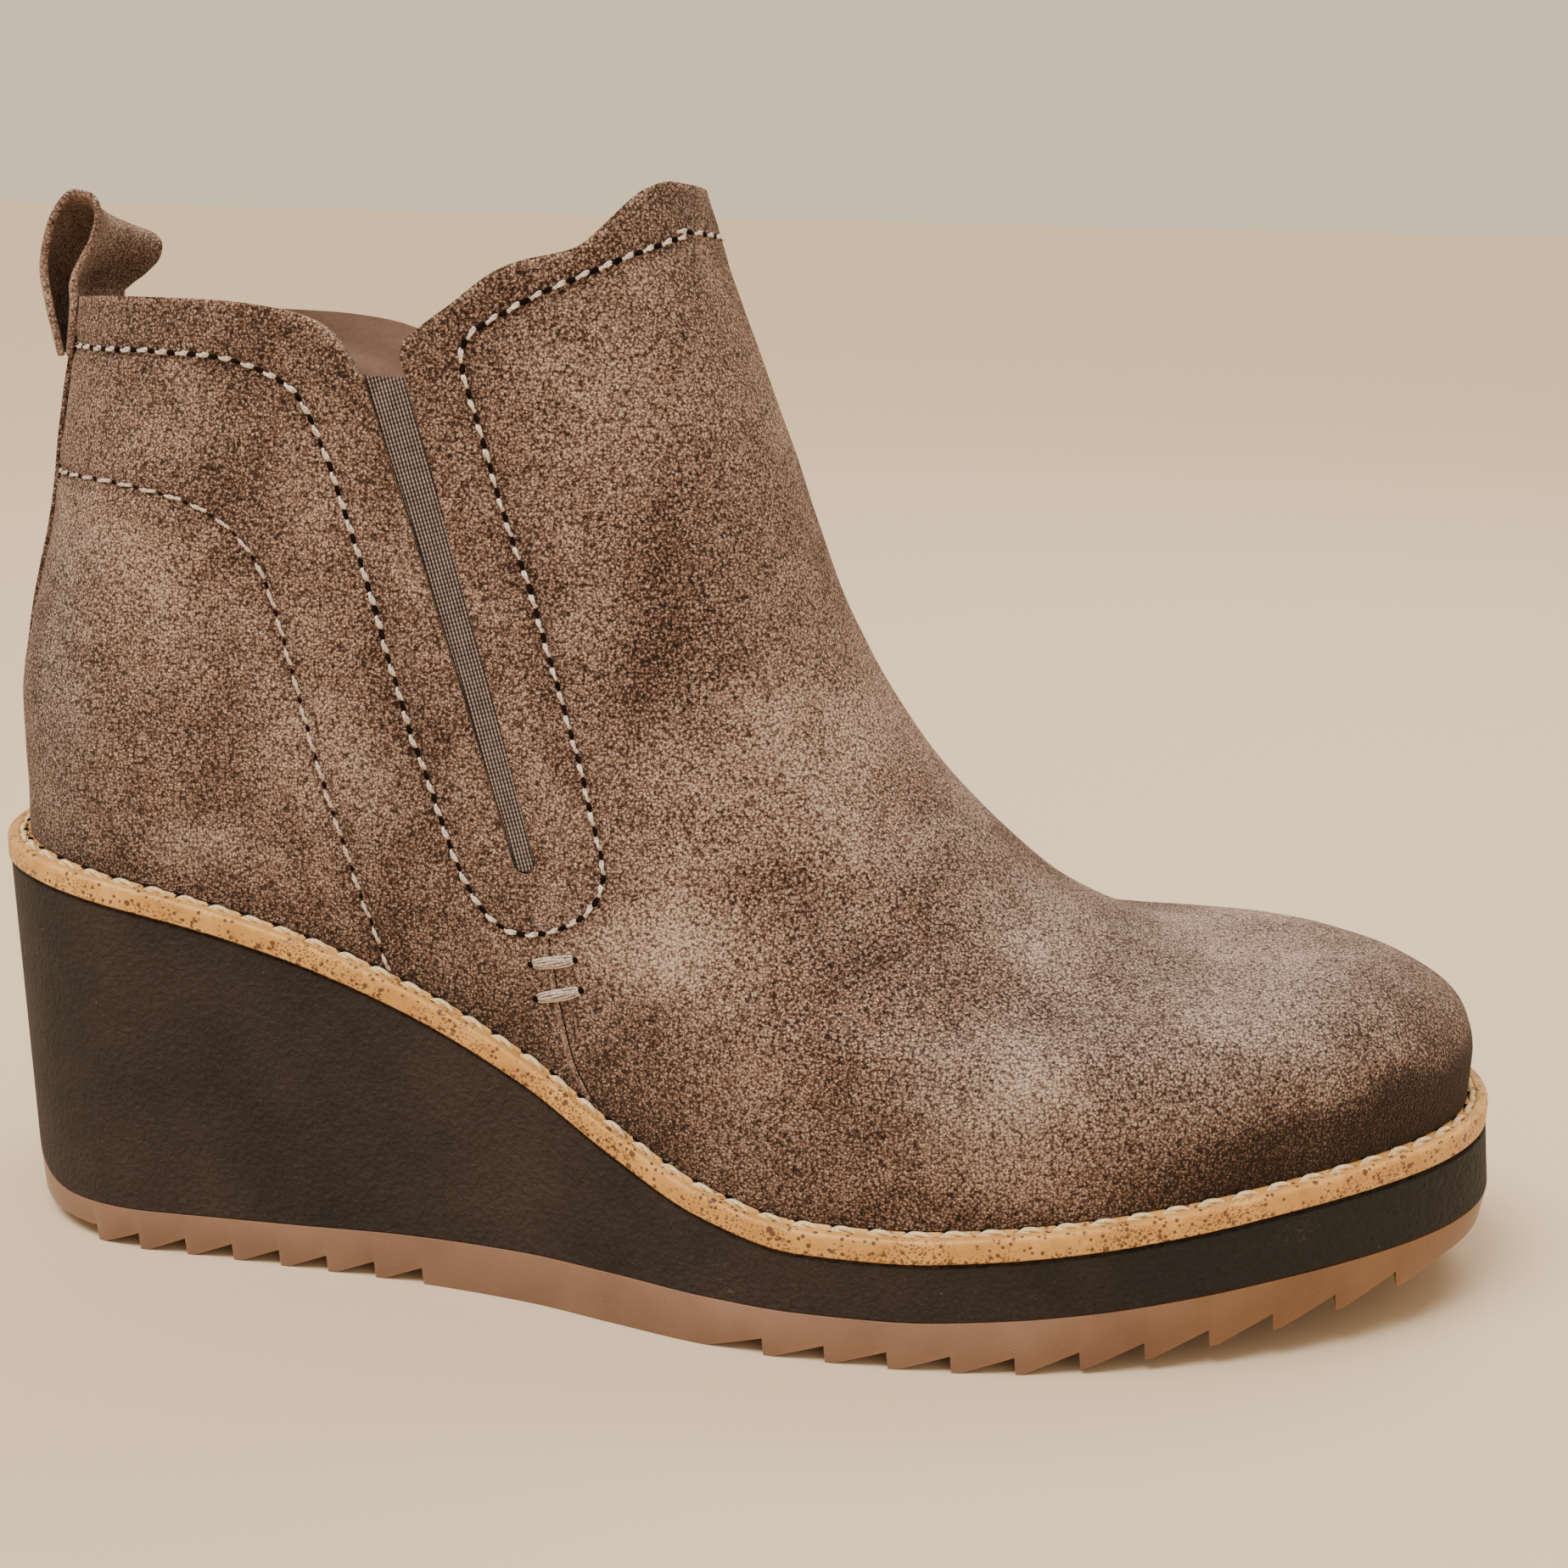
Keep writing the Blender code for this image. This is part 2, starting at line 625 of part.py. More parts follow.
def back_face(z, y):
    """x of the upper's back face at a height and a distance from the middle."""
    low, high = 0.0, float(len(RINGS) - 1)
    for _ in range(40):
        level = (low + high) / 2
        if ring_point(level, 0.0, OUTER).z < z:
            low = level
        else:
            high = level
    x = ring_value("back", low) * LENGTH
    side = "outer" if y < 0 else "inner"
    width = (BALL_HALF * sole(side, x) - WELT_SHOW) * ring_value(side, low)
    sag = 1 - (1 - abs(y / width) ** HEEL_FULLNESS) ** (1 / HEEL_FULLNESS)
    return x + HEEL_CUP * ring_value("cup", low) * sag


def thick_line(points, thickness):
    """The two sides of a line of (x, z) points, half a thickness either way."""
    left, right = [], []
    for i, point in enumerate(points):
        run = (points[min(i + 1, len(points) - 1)] - points[max(i - 1, 0)]).normalized()
        across = Vector((-run.y, run.x)) * thickness / 2
        left.append(point + across)
        right.append(point - across)
    return left, right


def strip_mesh(name, sections):
    """A closed body through cross-sections that are closed lines of points, with flat ends."""
    count = len(sections[0])
    points = [p for section in sections for p in section]
    faces = [tuple(range(count)), tuple(range(len(points) - 1, len(points) - count - 1, -1))]
    for k in range(len(sections) - 1):
        for i in range(count):
            j = (i + 1) % count
            a, b = k * count, (k + 1) * count
            faces.append((a + i, a + j, b + j, b + i))
    return mesh_from(name, points, faces)


def make_pull_loop(material, collection):
    steps = 3
    keys = list(range(len(FOLD)))
    levels = [i / steps for i in range((len(FOLD) - 1) * steps + 1)]
    sections = []
    for step in range(-3, 4):
        across = step / 3
        y = across * LOOP_WIDTH / 2
        path = []
        for level in levels:
            forward = read_curve(keys, [f.forward for f in FOLD], level)
            up = read_curve(keys, [f.up for f in FOLD], level)
            skew = read_curve(keys, [f.skew for f in FOLD], level)
            z = LOOP_SEAM + LOOP_RISE * (up - FOLD_DROP * across * up**2)
            face = back_face(min(z, COLLAR_BACK), y) - BACK_FIT - LOOP_THICK / 2
            offset = LOOP_BULGE * (forward - FOLD[0].forward) + FOLD_SKEW * skew * across
            path.append(Vector((face + offset, z)))
        left, right = thick_line(path, LOOP_THICK)
        sections.append([(p.x, y, p.y) for p in left + right[::-1]])
    return new_object("pull_loop", strip_mesh("pull_loop", sections), material, collection)


def make_back_strap(material, collection):
    rows = 14
    bottom, top = STRAP_FOOT, LOOP_SEAM - FIT
    sections = []
    for k in range(rows + 1):
        z = bottom + (top - bottom) * k / rows
        across = [STRAP_WIDTH * (i / 6 - 0.5) for i in range(7)]
        inner = [(back_face(z, y) - BACK_FIT, y, z) for y in across]
        outer = [(x - STRAP_THICK, y, z) for x, y, z in inner]
        sections.append(inner + outer[::-1])
    return new_object("back_strap", strip_mesh("back_strap", sections), material, collection)


# Scene

def make_material(name, colour, roughness):
    material = bpy.data.materials.new(name)
    material.use_nodes = True
    shader = material.node_tree.nodes["Principled BSDF"]
    shader.inputs["Base Color"].default_value = (*colour, 1.0)
    shader.inputs["Roughness"].default_value = roughness
    shader.inputs["Metallic"].default_value = 0.0
    return material


def clear_scene():
    for obj in list(bpy.data.objects):
        bpy.data.objects.remove(obj)


def new_collection(name):
    collection = bpy.data.collections.new(name)
    bpy.context.scene.collection.children.link(collection)
    return collection


def outline_centre():
    """Half way between the welt's outermost points on either side."""
    line = outline(sole_stations(), 0.0, LENGTH, 0.0)
    return (min(o for _, o, _ in line) + max(i for _, _, i in line)) / 2


def shade(obj):
    obj.data.shade_smooth()
    obj.data.set_sharp_from_angle(angle=math.radians(35))


def main():
    clear_scene()
    boot = new_collection("wedge_ankle_boot")
    cutters = new_collection("cutters")
    suede = make_material("suede", (0.170, 0.112, 0.082), 0.95)
    gum = make_material("gum_rubber", (0.330, 0.205, 0.140), 0.50)
    foam = make_material("wedge_foam", (0.040, 0.029, 0.025), 0.75)
    crepe = make_material("welt_crepe", (0.720, 0.450, 0.220), 0.55)
    elastic = make_material("elastic", (0.130, 0.100, 0.090), 0.85)
    lining = make_material("insole_leather", (0.480, 0.290, 0.170), 0.60)

    collar = collar_cutter(cutters)
    pieces = [
        make_outsole(gum, boot),
        make_wedge(foam, boot),
        make_welt(crepe, boot),
        make_insole(lining, boot),
        make_upper(suede, boot, cutters, collar),
        make_gore("gore_outer", OUTER, elastic, boot, cutters),
        make_gore("gore_inner", INNER, elastic, boot, cutters),
        make_pull_loop(suede, boot),
        make_back_strap(suede, boot),
    ]
    for piece in pieces:
        shade(piece)

    carrier = bpy.data.objects.new("boot", None)
    boot.objects.link(carrier)
    carrier.location = (-(LENGTH + TOE_LEAN) / 2, -outline_centre(), 0.0)
    for obj in pieces + list(cutters.objects):
        obj.parent = carrier


main()
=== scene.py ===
"""Looks of the wedge ankle boot: suede, linings, stitches, welt, wedge and gum sole.

The sizes, tables and loft are the part's own, so every piece lies where its solid lies.
Pieces are modelled with x = 0 at the heel end of the welt, then moved to the part's frame.
"""

import math
from collections import namedtuple

import bmesh
import bpy
from mathutils import Matrix, Vector, kdtree, noise
from mathutils.bvhtree import BVHTree


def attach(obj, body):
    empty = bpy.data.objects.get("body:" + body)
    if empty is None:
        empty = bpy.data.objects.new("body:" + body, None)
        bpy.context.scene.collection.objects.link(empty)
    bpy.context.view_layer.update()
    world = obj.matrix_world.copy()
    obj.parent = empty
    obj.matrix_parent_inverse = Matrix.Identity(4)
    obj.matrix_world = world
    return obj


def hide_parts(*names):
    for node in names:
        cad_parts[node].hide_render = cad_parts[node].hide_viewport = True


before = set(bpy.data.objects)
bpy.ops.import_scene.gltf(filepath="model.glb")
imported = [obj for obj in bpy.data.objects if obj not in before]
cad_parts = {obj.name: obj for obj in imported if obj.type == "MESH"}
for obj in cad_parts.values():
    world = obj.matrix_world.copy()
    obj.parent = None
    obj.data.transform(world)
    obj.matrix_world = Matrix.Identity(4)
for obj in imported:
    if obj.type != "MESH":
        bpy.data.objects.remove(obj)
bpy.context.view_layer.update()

# Sizes of the sole
LENGTH = 0.259  # welt, heel end to toe end
BALL_HALF = 0.048  # half of the welt's width at the ball
HEEL_ROUND = 0.033  # how far from the heel end the outline reaches its width
HEEL_FULLNESS = 2.05  # 2 is an ellipse, more is squarer
TOE_ROUND = 0.090  # the same, from the toe end
TOE_FULLNESS = 2.2
TOE_SWING = 0.009  # how far the toe end lies towards the inner side
PLATFORM = 0.018  # floor to the welt at the ball
HEEL_LIFT = 0.049  # how much higher the welt lies at the heel
WELT_SPRING = 0.010  # how much higher it lies at the toe
TREAD_SPRING = 0.010  # floor to the tread at the toe
OUTSOLE = 0.008  # floor to the wedge at the ball
WAIST_EXTRA = 0.0014  # what the outsole is thicker by under the waist
HEEL_LESS = 0.00084  # what it is thinner by under the heel
SOLE_SPRING = 0.0085  # how much higher the wedge's underside lies at the toe
HEEL_RAKE = 0.0026  # how far forward the heel's back leans, from the welt to the floor
TOE_LEAN = 0.0012  # how far the sole's front stands out in front of the welt, above the tread
TREAD_FRONT = 0.0004  # the same, at the tread
SIDE_DRAFT = 0.001  # how far the sides come in, from the welt to the floor
JOINT_RAKE = 0.002  # how far forward the heel's back leans where outsole and wedge meet
JOINT_DRAFT = 0.00085  # how far the sides come in there
WEDGE_INSET = 0.0004  # welt's edge to the wedge's, at the top
WEDGE_BEVEL = 0.0006  # bevel of the wedge's top edge
HEEL_WRAP = 0.009  # how far the outsole climbs the back of the wedge
HEEL_WRAP_REACH = 0.018
HEEL_BEVEL = 0.0024  # how far the outsole's underside lifts at the heel's back
HEEL_BEVEL_REACH = 0.010

# Saw-tooth tread
TOOTH_DEPTH = 0.0029
TOOTH_LAND = 0.0014  # flat tip of a tooth
TOOTH_RISER = 0.0003  # length of its upright face
HEEL_TREAD_START = 0.0228
HEEL_TOOTH = 0.0086
HEEL_TEETH = 7
BALL_TOOTH = 0.0100
BALL_TEETH = 10
TREAD_TOE_GAP = 0.0160  # last tooth to the toe end of the welt
BALL_TREAD_START = LENGTH - TREAD_TOE_GAP - BALL_TEETH * BALL_TOOTH
BALL_RAMP = 0.0094  # slope that leads from the flat waist up to the first tooth
HEEL_LIP = 0.0026  # height of the plain underside behind the teeth, over their tips
TOE_LIP = 0.0016  # the same, in front of the last tooth
TOE_LIP_RUN = 0.0067  # how far in front of it the underside reaches that height

# Welt
WELT = 0.004
WELT_ROUND = 0.0008  # rounding of its top edge
WELT_SHOW = 0.0035  # what shows outside the upper
WELT_REACH = 0.0105  # its whole width
FIT = 0.0003  # clearance between pieces that touch

# Upper
WALL = 0.0022
QUARTER = 0.1035  # height of the loft over the welt, at the back
FRONT = 0.151  # the same, at the front
HEEL_CUP = 0.030  # rounding of the upper's back
COLLAR_BACK = 0.1588  # height of the collar's back edge
COLLAR_FRONT = 0.1790  # height of its front tab
COLLAR_DIP = 0.1478  # height of the collar at the gores
COLLAR_SLANT = 0.096  # how the collar falls from the outer side to the inner side

# Gores
GORE_TOP_AT = 0.0779  # place of the slot's upper end along the boot
GORE_FOOT_AT = 0.1018
GORE_FOOT = 0.0700  # height of its lower end
GORE_TOP_WIDTH = 0.0068
GORE_FOOT_WIDTH = 0.0038

# Pull loop and back strap
LOOP_WIDTH = 0.021
LOOP_THICK = 0.0012
LOOP_GRIP = 0.0088  # collar's back edge down to the seam that holds its ends
LOOP_SEAM = COLLAR_BACK - LOOP_GRIP
LOOP_RISE = 0.0230  # seam to the top of the fold
LOOP_BULGE = 0.0075  # how far the fold reaches over the collar
STRAP_WIDTH = 0.010
STRAP_THICK = 0.0010
STRAP_FOOT = 0.0840  # height of its lower end
BACK_FIT = 0.0004  # clearance of both from the heel's curved face

OUTER, INNER = -1, 1
CLEAR = 0.070  # half length of a cutter, beyond either side of the boot

# Along is a share of LENGTH. Lift, spring, tread, waist and swing are shares of the heights and
# of the swing named above. Outer and inner are shares of BALL_HALF, before the ends are rounded.
Sole = namedtuple("Sole", "along lift spring tread waist outer inner swing")
SOLE = [
    Sole(0.000, 0.945, 0.00, 0.00, 0.0, 0.690, 0.690, 0.00),
    Sole(0.040, 0.942, 0.00, 0.00, 0.0, 0.690, 0.690, 0.00),
    Sole(0.076, 0.925, 0.00, 0.00, 0.0, 0.690, 0.690, 0.00),
    Sole(0.152, 0.860, 0.00, 0.00, 0.1, 0.700, 0.680, 0.00),
    Sole(0.232, 0.765, 0.00, 0.00, 0.4, 0.725, 0.655, 0.00),
    Sole(0.312, 0.620, 0.00, 0.00, 0.8, 0.755, 0.635, 0.00),
    Sole(0.392, 0.423, 0.00, 0.00, 0.9, 0.820, 0.640, 0.00),
    Sole(0.452, 0.238, 0.00, 0.00, 0.8, 0.910, 0.670, 0.00),
    Sole(0.512, 0.083, 0.00, 0.00, 0.4, 0.995, 0.735, 0.00),
    Sole(0.572, 0.008, 0.00, 0.00, 0.1, 1.040, 0.825, 0.00),
    Sole(0.632, 0.000, 0.02, 0.00, 0.0, 1.045, 0.905, 0.00),
    Sole(0.692, 0.000, 0.13, 0.00, 0.0, 1.030, 0.960, 0.04),
    Sole(0.752, 0.000, 0.29, 0.12, 0.0, 1.010, 0.980, 0.15),
    Sole(0.812, 0.000, 0.50, 0.31, 0.0, 0.990, 0.980, 0.32),
    Sole(0.872, 0.000, 0.73, 0.54, 0.0, 0.975, 0.960, 0.53),
    Sole(0.936, 0.000, 0.90, 0.79, 0.0, 0.960, 0.950, 0.76),
    Sole(1.000, 0.000, 1.00, 1.00, 0.0, 0.950, 0.940, 1.00),
]

# Rings of the upper, from the welt to above the collar. Back and front are where a ring meets the
# boot's back and front, as shares of LENGTH. Back_up and front_up are its heights there over the
# welt, as shares of QUARTER and FRONT. Outer and inner scale its width. Cup and nose are the
# lengths of its rounded ends, as shares of HEEL_CUP and TOE_ROUND.
Ring = namedtuple("Ring", "back back_up front front_up outer inner cup nose")
RINGS = [
    Ring(0.0148, 0.000, 0.9864, 0.000, 1.000, 1.000, 1.00, 0.96),
    Ring(0.0162, 0.093, 0.9869, 0.050, 1.012, 1.012, 1.00, 0.97),
    Ring(0.0162, 0.170, 0.9804, 0.094, 1.015, 1.015, 1.00, 1.00),
    Ring(0.0164, 0.237, 0.9548, 0.133, 1.010, 1.010, 1.02, 1.02),
    Ring(0.0210, 0.305, 0.9036, 0.168, 1.000, 1.000, 1.05, 1.08),
    Ring(0.0264, 0.372, 0.8173, 0.192, 0.985, 0.990, 1.08, 1.12),
    Ring(0.0334, 0.440, 0.7290, 0.259, 0.970, 0.980, 1.12, 1.02),
    Ring(0.0407, 0.507, 0.6727, 0.343, 0.950, 0.970, 1.16, 0.90),
    Ring(0.0462, 0.575, 0.6180, 0.448, 0.930, 0.970, 1.20, 0.82),
    Ring(0.0502, 0.643, 0.5719, 0.580, 0.910, 0.980, 1.24, 0.76),
    Ring(0.0557, 0.720, 0.5347, 0.731, 0.890, 0.990, 1.28, 0.70),
    Ring(0.0627, 0.807, 0.5051, 0.846, 0.875, 1.000, 1.32, 0.65),
    Ring(0.0672, 0.904, 0.4835, 0.926, 0.865, 1.005, 1.36, 0.61),
    Ring(0.0687, 1.000, 0.4675, 1.000, 0.855, 1.010, 1.40, 0.60),
]
RING_FINE = 8  # rings of the mesh for each row of the table
ROUND_FINE = 104  # points of a ring along each side

# The collar's edge from the back to the front. Along is a share of LENGTH. Back, dip and tab are
# the weights of the three named collar heights.
Collar = namedtuple("Collar", "along back dip tab")
COLLAR = [
    Collar(-0.10, 1.00, 0.00, 0.00),
    Collar(0.113, 1.00, 0.00, 0.00),
    Collar(0.193, 0.97, 0.03, 0.00),
    Collar(0.232, 0.88, 0.12, 0.00),
    Collar(0.255, 0.74, 0.26, 0.00),
    Collar(0.269, 0.52, 0.48, 0.00),
    Collar(0.278, 0.24, 0.76, 0.00),
    Collar(0.284, 0.00, 1.00, 0.00),
    Collar(0.309, 0.00, 1.00, 0.00),
    Collar(0.311, 0.00, 0.87, 0.13),
    Collar(0.323, 0.00, 0.77, 0.23),
    Collar(0.342, 0.00, 0.655, 0.345),
    Collar(0.370, 0.00, 0.48, 0.52),
    Collar(0.386, 0.00, 0.425, 0.575),
    Collar(0.403, 0.00, 0.39, 0.61),
    Collar(0.416, 0.00, 0.355, 0.645),
    Collar(0.428, 0.00, 0.265, 0.735),
    Collar(0.439, 0.00, 0.155, 0.845),
    Collar(0.450, 0.00, 0.055, 0.945),
    Collar(0.463, 0.00, 0.00, 1.00),
    Collar(0.70, 0.00, 0.00, 1.00),
]

# The fold of the pull loop, from its front end over the top and down to its back end. Forward is
# a share of LOOP_BULGE in front of the heel's back face, up a share of LOOP_RISE over the seam,
# and skew how much of the bulge is added towards the inner side.
Fold = namedtuple("Fold", "forward up skew")
FOLD = [
    Fold(-0.12, 0.00, 0.0),
    Fold(-0.12, 0.22, 0.0),
    Fold(-0.12, 0.44, 0.0),
    Fold(0.00, 0.52, 0.4),
    Fold(0.30, 0.63, 0.9),
    Fold(0.60, 0.76, 1.0),
    Fold(0.70, 0.88, 0.8),
    Fold(0.50, 0.98, 0.5),
    Fold(0.08, 1.00, 0.3),
    Fold(-0.34, 0.92, 0.1),
    Fold(-0.64, 0.76, 0.0),
    Fold(-0.78, 0.56, 0.0),
    Fold(-0.70, 0.36, 0.0),
    Fold(-0.50, 0.17, 0.0),
    Fold(-0.31, 0.00, 0.0),
]
FOLD_SKEW = 0.0014  # what a skew of 1 adds to the bulge at the inner edge
FOLD_DROP = 0.15  # share of its rise by which the inner side lies lower, the outer side higher

# Stitched lines as seen from the side: places along the boot and heights, in millimetres. A height
# is that at the boot's middle, and falls towards the inner side as the collar does.
QUARTER_SEAM = [
    (18.6, 150.9), (22.7, 150.6), (30.2, 150.3), (36.2, 150.3), (40.6, 150.1), (46.8, 149.9),
    (50.8, 149.6), (53.7, 149.0), (57.0, 148.0), (60.2, 146.6), (63.0, 144.8), (65.0, 142.0),
    (66.6, 138.7), (68.4, 134.5), (69.7, 130.6), (70.8, 127.3), (71.9, 124.0), (74.2, 117.0),
    (76.4, 110.0), (78.4, 102.9), (80.5, 96.2), (82.3, 90.3), (84.9, 83.9), (87.1, 77.6),
    (88.7, 73.4), (90.3, 69.8), (92.0, 66.6), (94.0, 63.7), (96.5, 61.5), (99.0, 60.3),
    (101.7, 60.1), (104.6, 60.6), (107.8, 61.8), (110.9, 63.7), (113.1, 65.9), (114.3, 68.2),
    (114.8, 70.6), (114.6, 73.1), (113.8, 76.3), (112.8, 79.6), (111.9, 83.1), (111.0, 86.5),
    (110.0, 89.8), (108.9, 93.2), (107.7, 96.9), (104.6, 106.4), (101.5, 116.4), (100.0, 120.0),
    (98.7, 123.4), (97.6, 126.5), (96.4, 129.8), (95.4, 133.2), (94.5, 136.5), (93.5, 139.8),
    (92.4, 143.2), (91.2, 147.2), (90.5, 151.2), (91.6, 153.9), (94.2, 156.0), (97.5, 157.9),
    (100.6, 159.7), (103.6, 161.3), (106.5, 162.6), (109.1, 163.9), (111.9, 165.2),
    (114.5, 166.6), (117.1, 167.9), (119.7, 169.3), (121.6, 170.5),
]
COUNTER_SEAM = [
    (13.3, 129.9), (14.6, 129.9), (16.4, 129.9), (18.4, 129.8), (23.1, 129.6), (28.6, 129.3),
    (32.7, 128.9), (36.6, 128.3), (40.9, 127.5),
    (45.4, 126.2), (49.5, 124.2), (52.7, 121.7), (55.3, 118.6), (57.6, 114.3), (59.3, 109.8),
    (60.6, 105.4), (61.8, 101.0), (63.0, 96.8), (64.1, 92.6), (65.4, 88.2), (66.8, 83.6),
    (68.2, 79.0), (69.7, 74.4), (71.2, 69.8), (72.7, 65.1), (74.2, 60.7), (75.8, 56.5),
    (77.1, 52.6),
]
VAMP_SEAM = [
    (105.8, 60.0), (106.1, 57.4), (106.9, 54.0), (107.6, 49.6), (108.4, 46.0), (109.3, 42.2),
    (110.4, 38.8), (112.2, 35.4), (113.4, 33.2),
]
BAR_TACKS = [((103.0, 55.3), (110.0, 57.0)), ((103.7, 49.5), (111.0, 51.9))]
COLLAR_SEAM_FRONT = 171.4  # height of the quarter's seam where it crosses the front tab, mm

# Light and dark patches of the brushed suede: middle and half lengths in mm, what they add to the
# tone, and how grey they are.
Patch = namedtuple("Patch", "along up long high tone grey")
PATCHES = [
    Patch(72, 84, 7, 7, 0.20, 0.7),
    Patch(48, 74, 12, 6, 0.14, 0.5),
    Patch(33, 74, 8, 5, 0.08, 0.5),
    Patch(26, 121, 13, 8, 0.20, 0.1),
    Patch(40, 112, 12, 5, 0.10, 0.1),
    Patch(52, 104, 10, 6, -0.10, 0.0),
    Patch(40, 140, 16, 6, 0.10, 0.2),
    Patch(56, 136, 8, 8, -0.16, 0.0),
    Patch(32, 97, 14, 8, -0.05, 0.2),
    Patch(122, 63, 12, 10, 0.30, 0.5),
    Patch(110, 118, 4, 16, 0.12, 0.2),
    Patch(118, 148, 10, 10, 0.08, 0.1),
    Patch(107, 152, 8, 5, 0.10, 0.3),
    Patch(124, 112, 8, 12, -0.10, 0.1),
    Patch(138, 88, 20, 26, 0.20, 0.1),
    # Painted sheen at the heel's back: a lighter, greyer streak.
    Patch(20, 112, 6, 18, 0.08, 0.7),
    Patch(212, 62, 26, 9, 0.26, 0.2),
    Patch(141, 96, 12, 9, 0.10, 0.3),
    Patch(140, 80, 14, 6, 0.10, 0.3),
    Patch(152, 66, 8, 7, -0.10, 0.3),
    Patch(166, 76, 10, 5, 0.14, 0.7),
    Patch(178, 64, 12, 5, 0.18, 0.8),
    Patch(182, 45, 10, 10, 0.32, 1.0),
    Patch(169, 42, 6, 6, 0.12, 0.8),
    Patch(207, 46, 14, 7, 0.10, 0.8),
    Patch(196, 57, 12, 5, -0.12, 0.4),
    Patch(222, 55, 14, 5, 0.10, 0.7),
    Patch(158, 40, 14, 8, -0.10, 0.2),
    Patch(140, 34, 14, 6, -0.10, 0.2),
    Patch(96, 52, 16, 7, -0.12, 0.1),
    # Painted sheen at the heel's back, greyer lower down.
    Patch(19, 88, 5, 20, 0.02, 0.9),
]

SUEDE_TONE, SUEDE_GREY = 0.47, 0.06  # of the plain suede between the patches
PATCH_TONE, PATCH_GREY = 0.75, 0.80  # how strongly the patches show

# Creases of the worn-in suede: ends in mm, how deep and how wide.
Crease = namedtuple("Crease", "x0 z0 x1 z1 deep wide")
CREASES = [
    Crease(108, 140, 114, 96, 0.28, 3.2),
    Crease(118, 112, 130, 84, 0.32, 4.2),
    Crease(126, 92, 148, 70, 0.38, 5.0),
    Crease(142, 96, 160, 78, 0.30, 4.0),
    Crease(150, 70, 172, 52, 0.36, 5.0),
    Crease(166, 66, 184, 54, 0.26, 4.0),
    Crease(30, 142, 58, 128, 0.24, 4.4),
    Crease(24, 100, 52, 90, 0.20, 5.0),
    Crease(84, 60, 104, 46, 0.20, 4.0),
]

# Bar tacks
TACK_STRANDS = 5
TACK_HALF = 0.00086  # half a tack's width at its middle
TACK_STRAND = 0.00025  # a strand's radius
TACK_CROWN = 0.00055
TACK_SUNK = 0.00012
TACK_HOLE = 0.0006
TACK_HOLE_RISE = 0.00016
TACK_HOLE_OUT = 0.0004  # from a tack's end to its hole's middle

# What a seam does to the suede: a narrow dip with a puffed band beside it
SEAM_HALF = 0.0011
SEAM_SINK = 0.00032
PUFF_AT = 0.0034
PUFF_HALF = 0.0020
PUFF_RISE = 0.00022

# Stitches: pitch of each row along its path
QUARTER_PITCH = 0.0039
COUNTER_PITCH = 0.0046
WELT_PITCH = 0.0058
STITCH_LIFT = 0.00022  # middle of a stitch over the suede
HOLE_LIFT = 0.00001  # the same for a needle hole
HOLE_UNEVEN = 0.12  # how much the holes on the sides vary in size
WELT_STITCH_LIFT = 0.00035  # over the bottom of the welt's groove
WELT_HOLE_LIFT = 0.0007
STITCH_LANE = 0.00265  # welt's edge to the middle of its stitches
LANE_HALF = 0.0009  # half width of the groove that they lie in
LANE_DEEP = 0.0005
HOLE_LANE = STITCH_LANE + 0.0005

# Light
SKY = (1.00, 0.80, 0.57)
SKY_STRENGTH = 0.98
DAYLIGHT = (1.0, 0.98, 0.96)
FLOOR = (0.66, 0.53, 0.375)
FLOOR_REACH = 6.0


def read_table(rows, column, at, key):
    """A column of a table at a value of its key column, on a smooth curve that never overshoots."""
    keys = [getattr(row, key) for row in rows]
    values = [getattr(row, column) for row in rows]
    return read_curve(keys, values, at)


def read_curve(keys, values, at):
    if at <= keys[0]:
        return values[0]
    if at >= keys[-1]:
        return values[-1]
    i = max(j for j in range(len(keys) - 1) if keys[j] <= at)
    step = keys[i + 1] - keys[i]
    slope = (values[i + 1] - values[i]) / step

    def tangent(j):
        if j <= 0 or j >= len(keys) - 1:
            return slope
        before = (values[j] - values[j - 1]) / (keys[j] - keys[j - 1])
        after = (values[j + 1] - values[j]) / (keys[j + 1] - keys[j])
        if before * after <= 0:
            return 0.0
        return 2 * before * after / (before + after)

    t = (at - keys[i]) / step
    start, end = tangent(i) * step, tangent(i + 1) * step
    return (
        values[i] * (2 * t**3 - 3 * t**2 + 1)
        + start * (t**3 - 2 * t**2 + t)
        + values[i + 1] * (3 * t**2 - 2 * t**3)
        + end * (t**3 - t**2)
    )


def sole(column, x):
    return read_table(SOLE, column, x / LENGTH, "along")


def rounding(distance, length, fullness):
    """Share of the full width at a distance from a rounded end."""
    t = min(max(distance / length, 0.0), 1.0)
    return (1 - (1 - t) ** fullness) ** (1 / fullness)


# Heights of the sole

def welt_base(x):
    return PLATFORM + HEEL_LIFT * sole("lift", x) + WELT_SPRING * sole("spring", x)


def outsole_top(x, back):
    wrap = 1 - min(max((x - back) / HEEL_WRAP_REACH, 0.0), 1.0)
    return (
        OUTSOLE
        + WAIST_EXTRA * sole("waist", x)
        - HEEL_LESS * sole("lift", x)
        + SOLE_SPRING * sole("spring", x)
        + HEEL_WRAP * wrap**3
    )


def tread_base(x, back):
    bevel = 1 - min(max((x - back) / HEEL_BEVEL_REACH, 0.0), 1.0)
    return TREAD_SPRING * sole("tread", x) + HEEL_BEVEL * bevel**2


def upper_base(x):
    return welt_base(x) + FIT + WELT + FIT


# Outlines, each a list of stations (x, outer y, inner y)

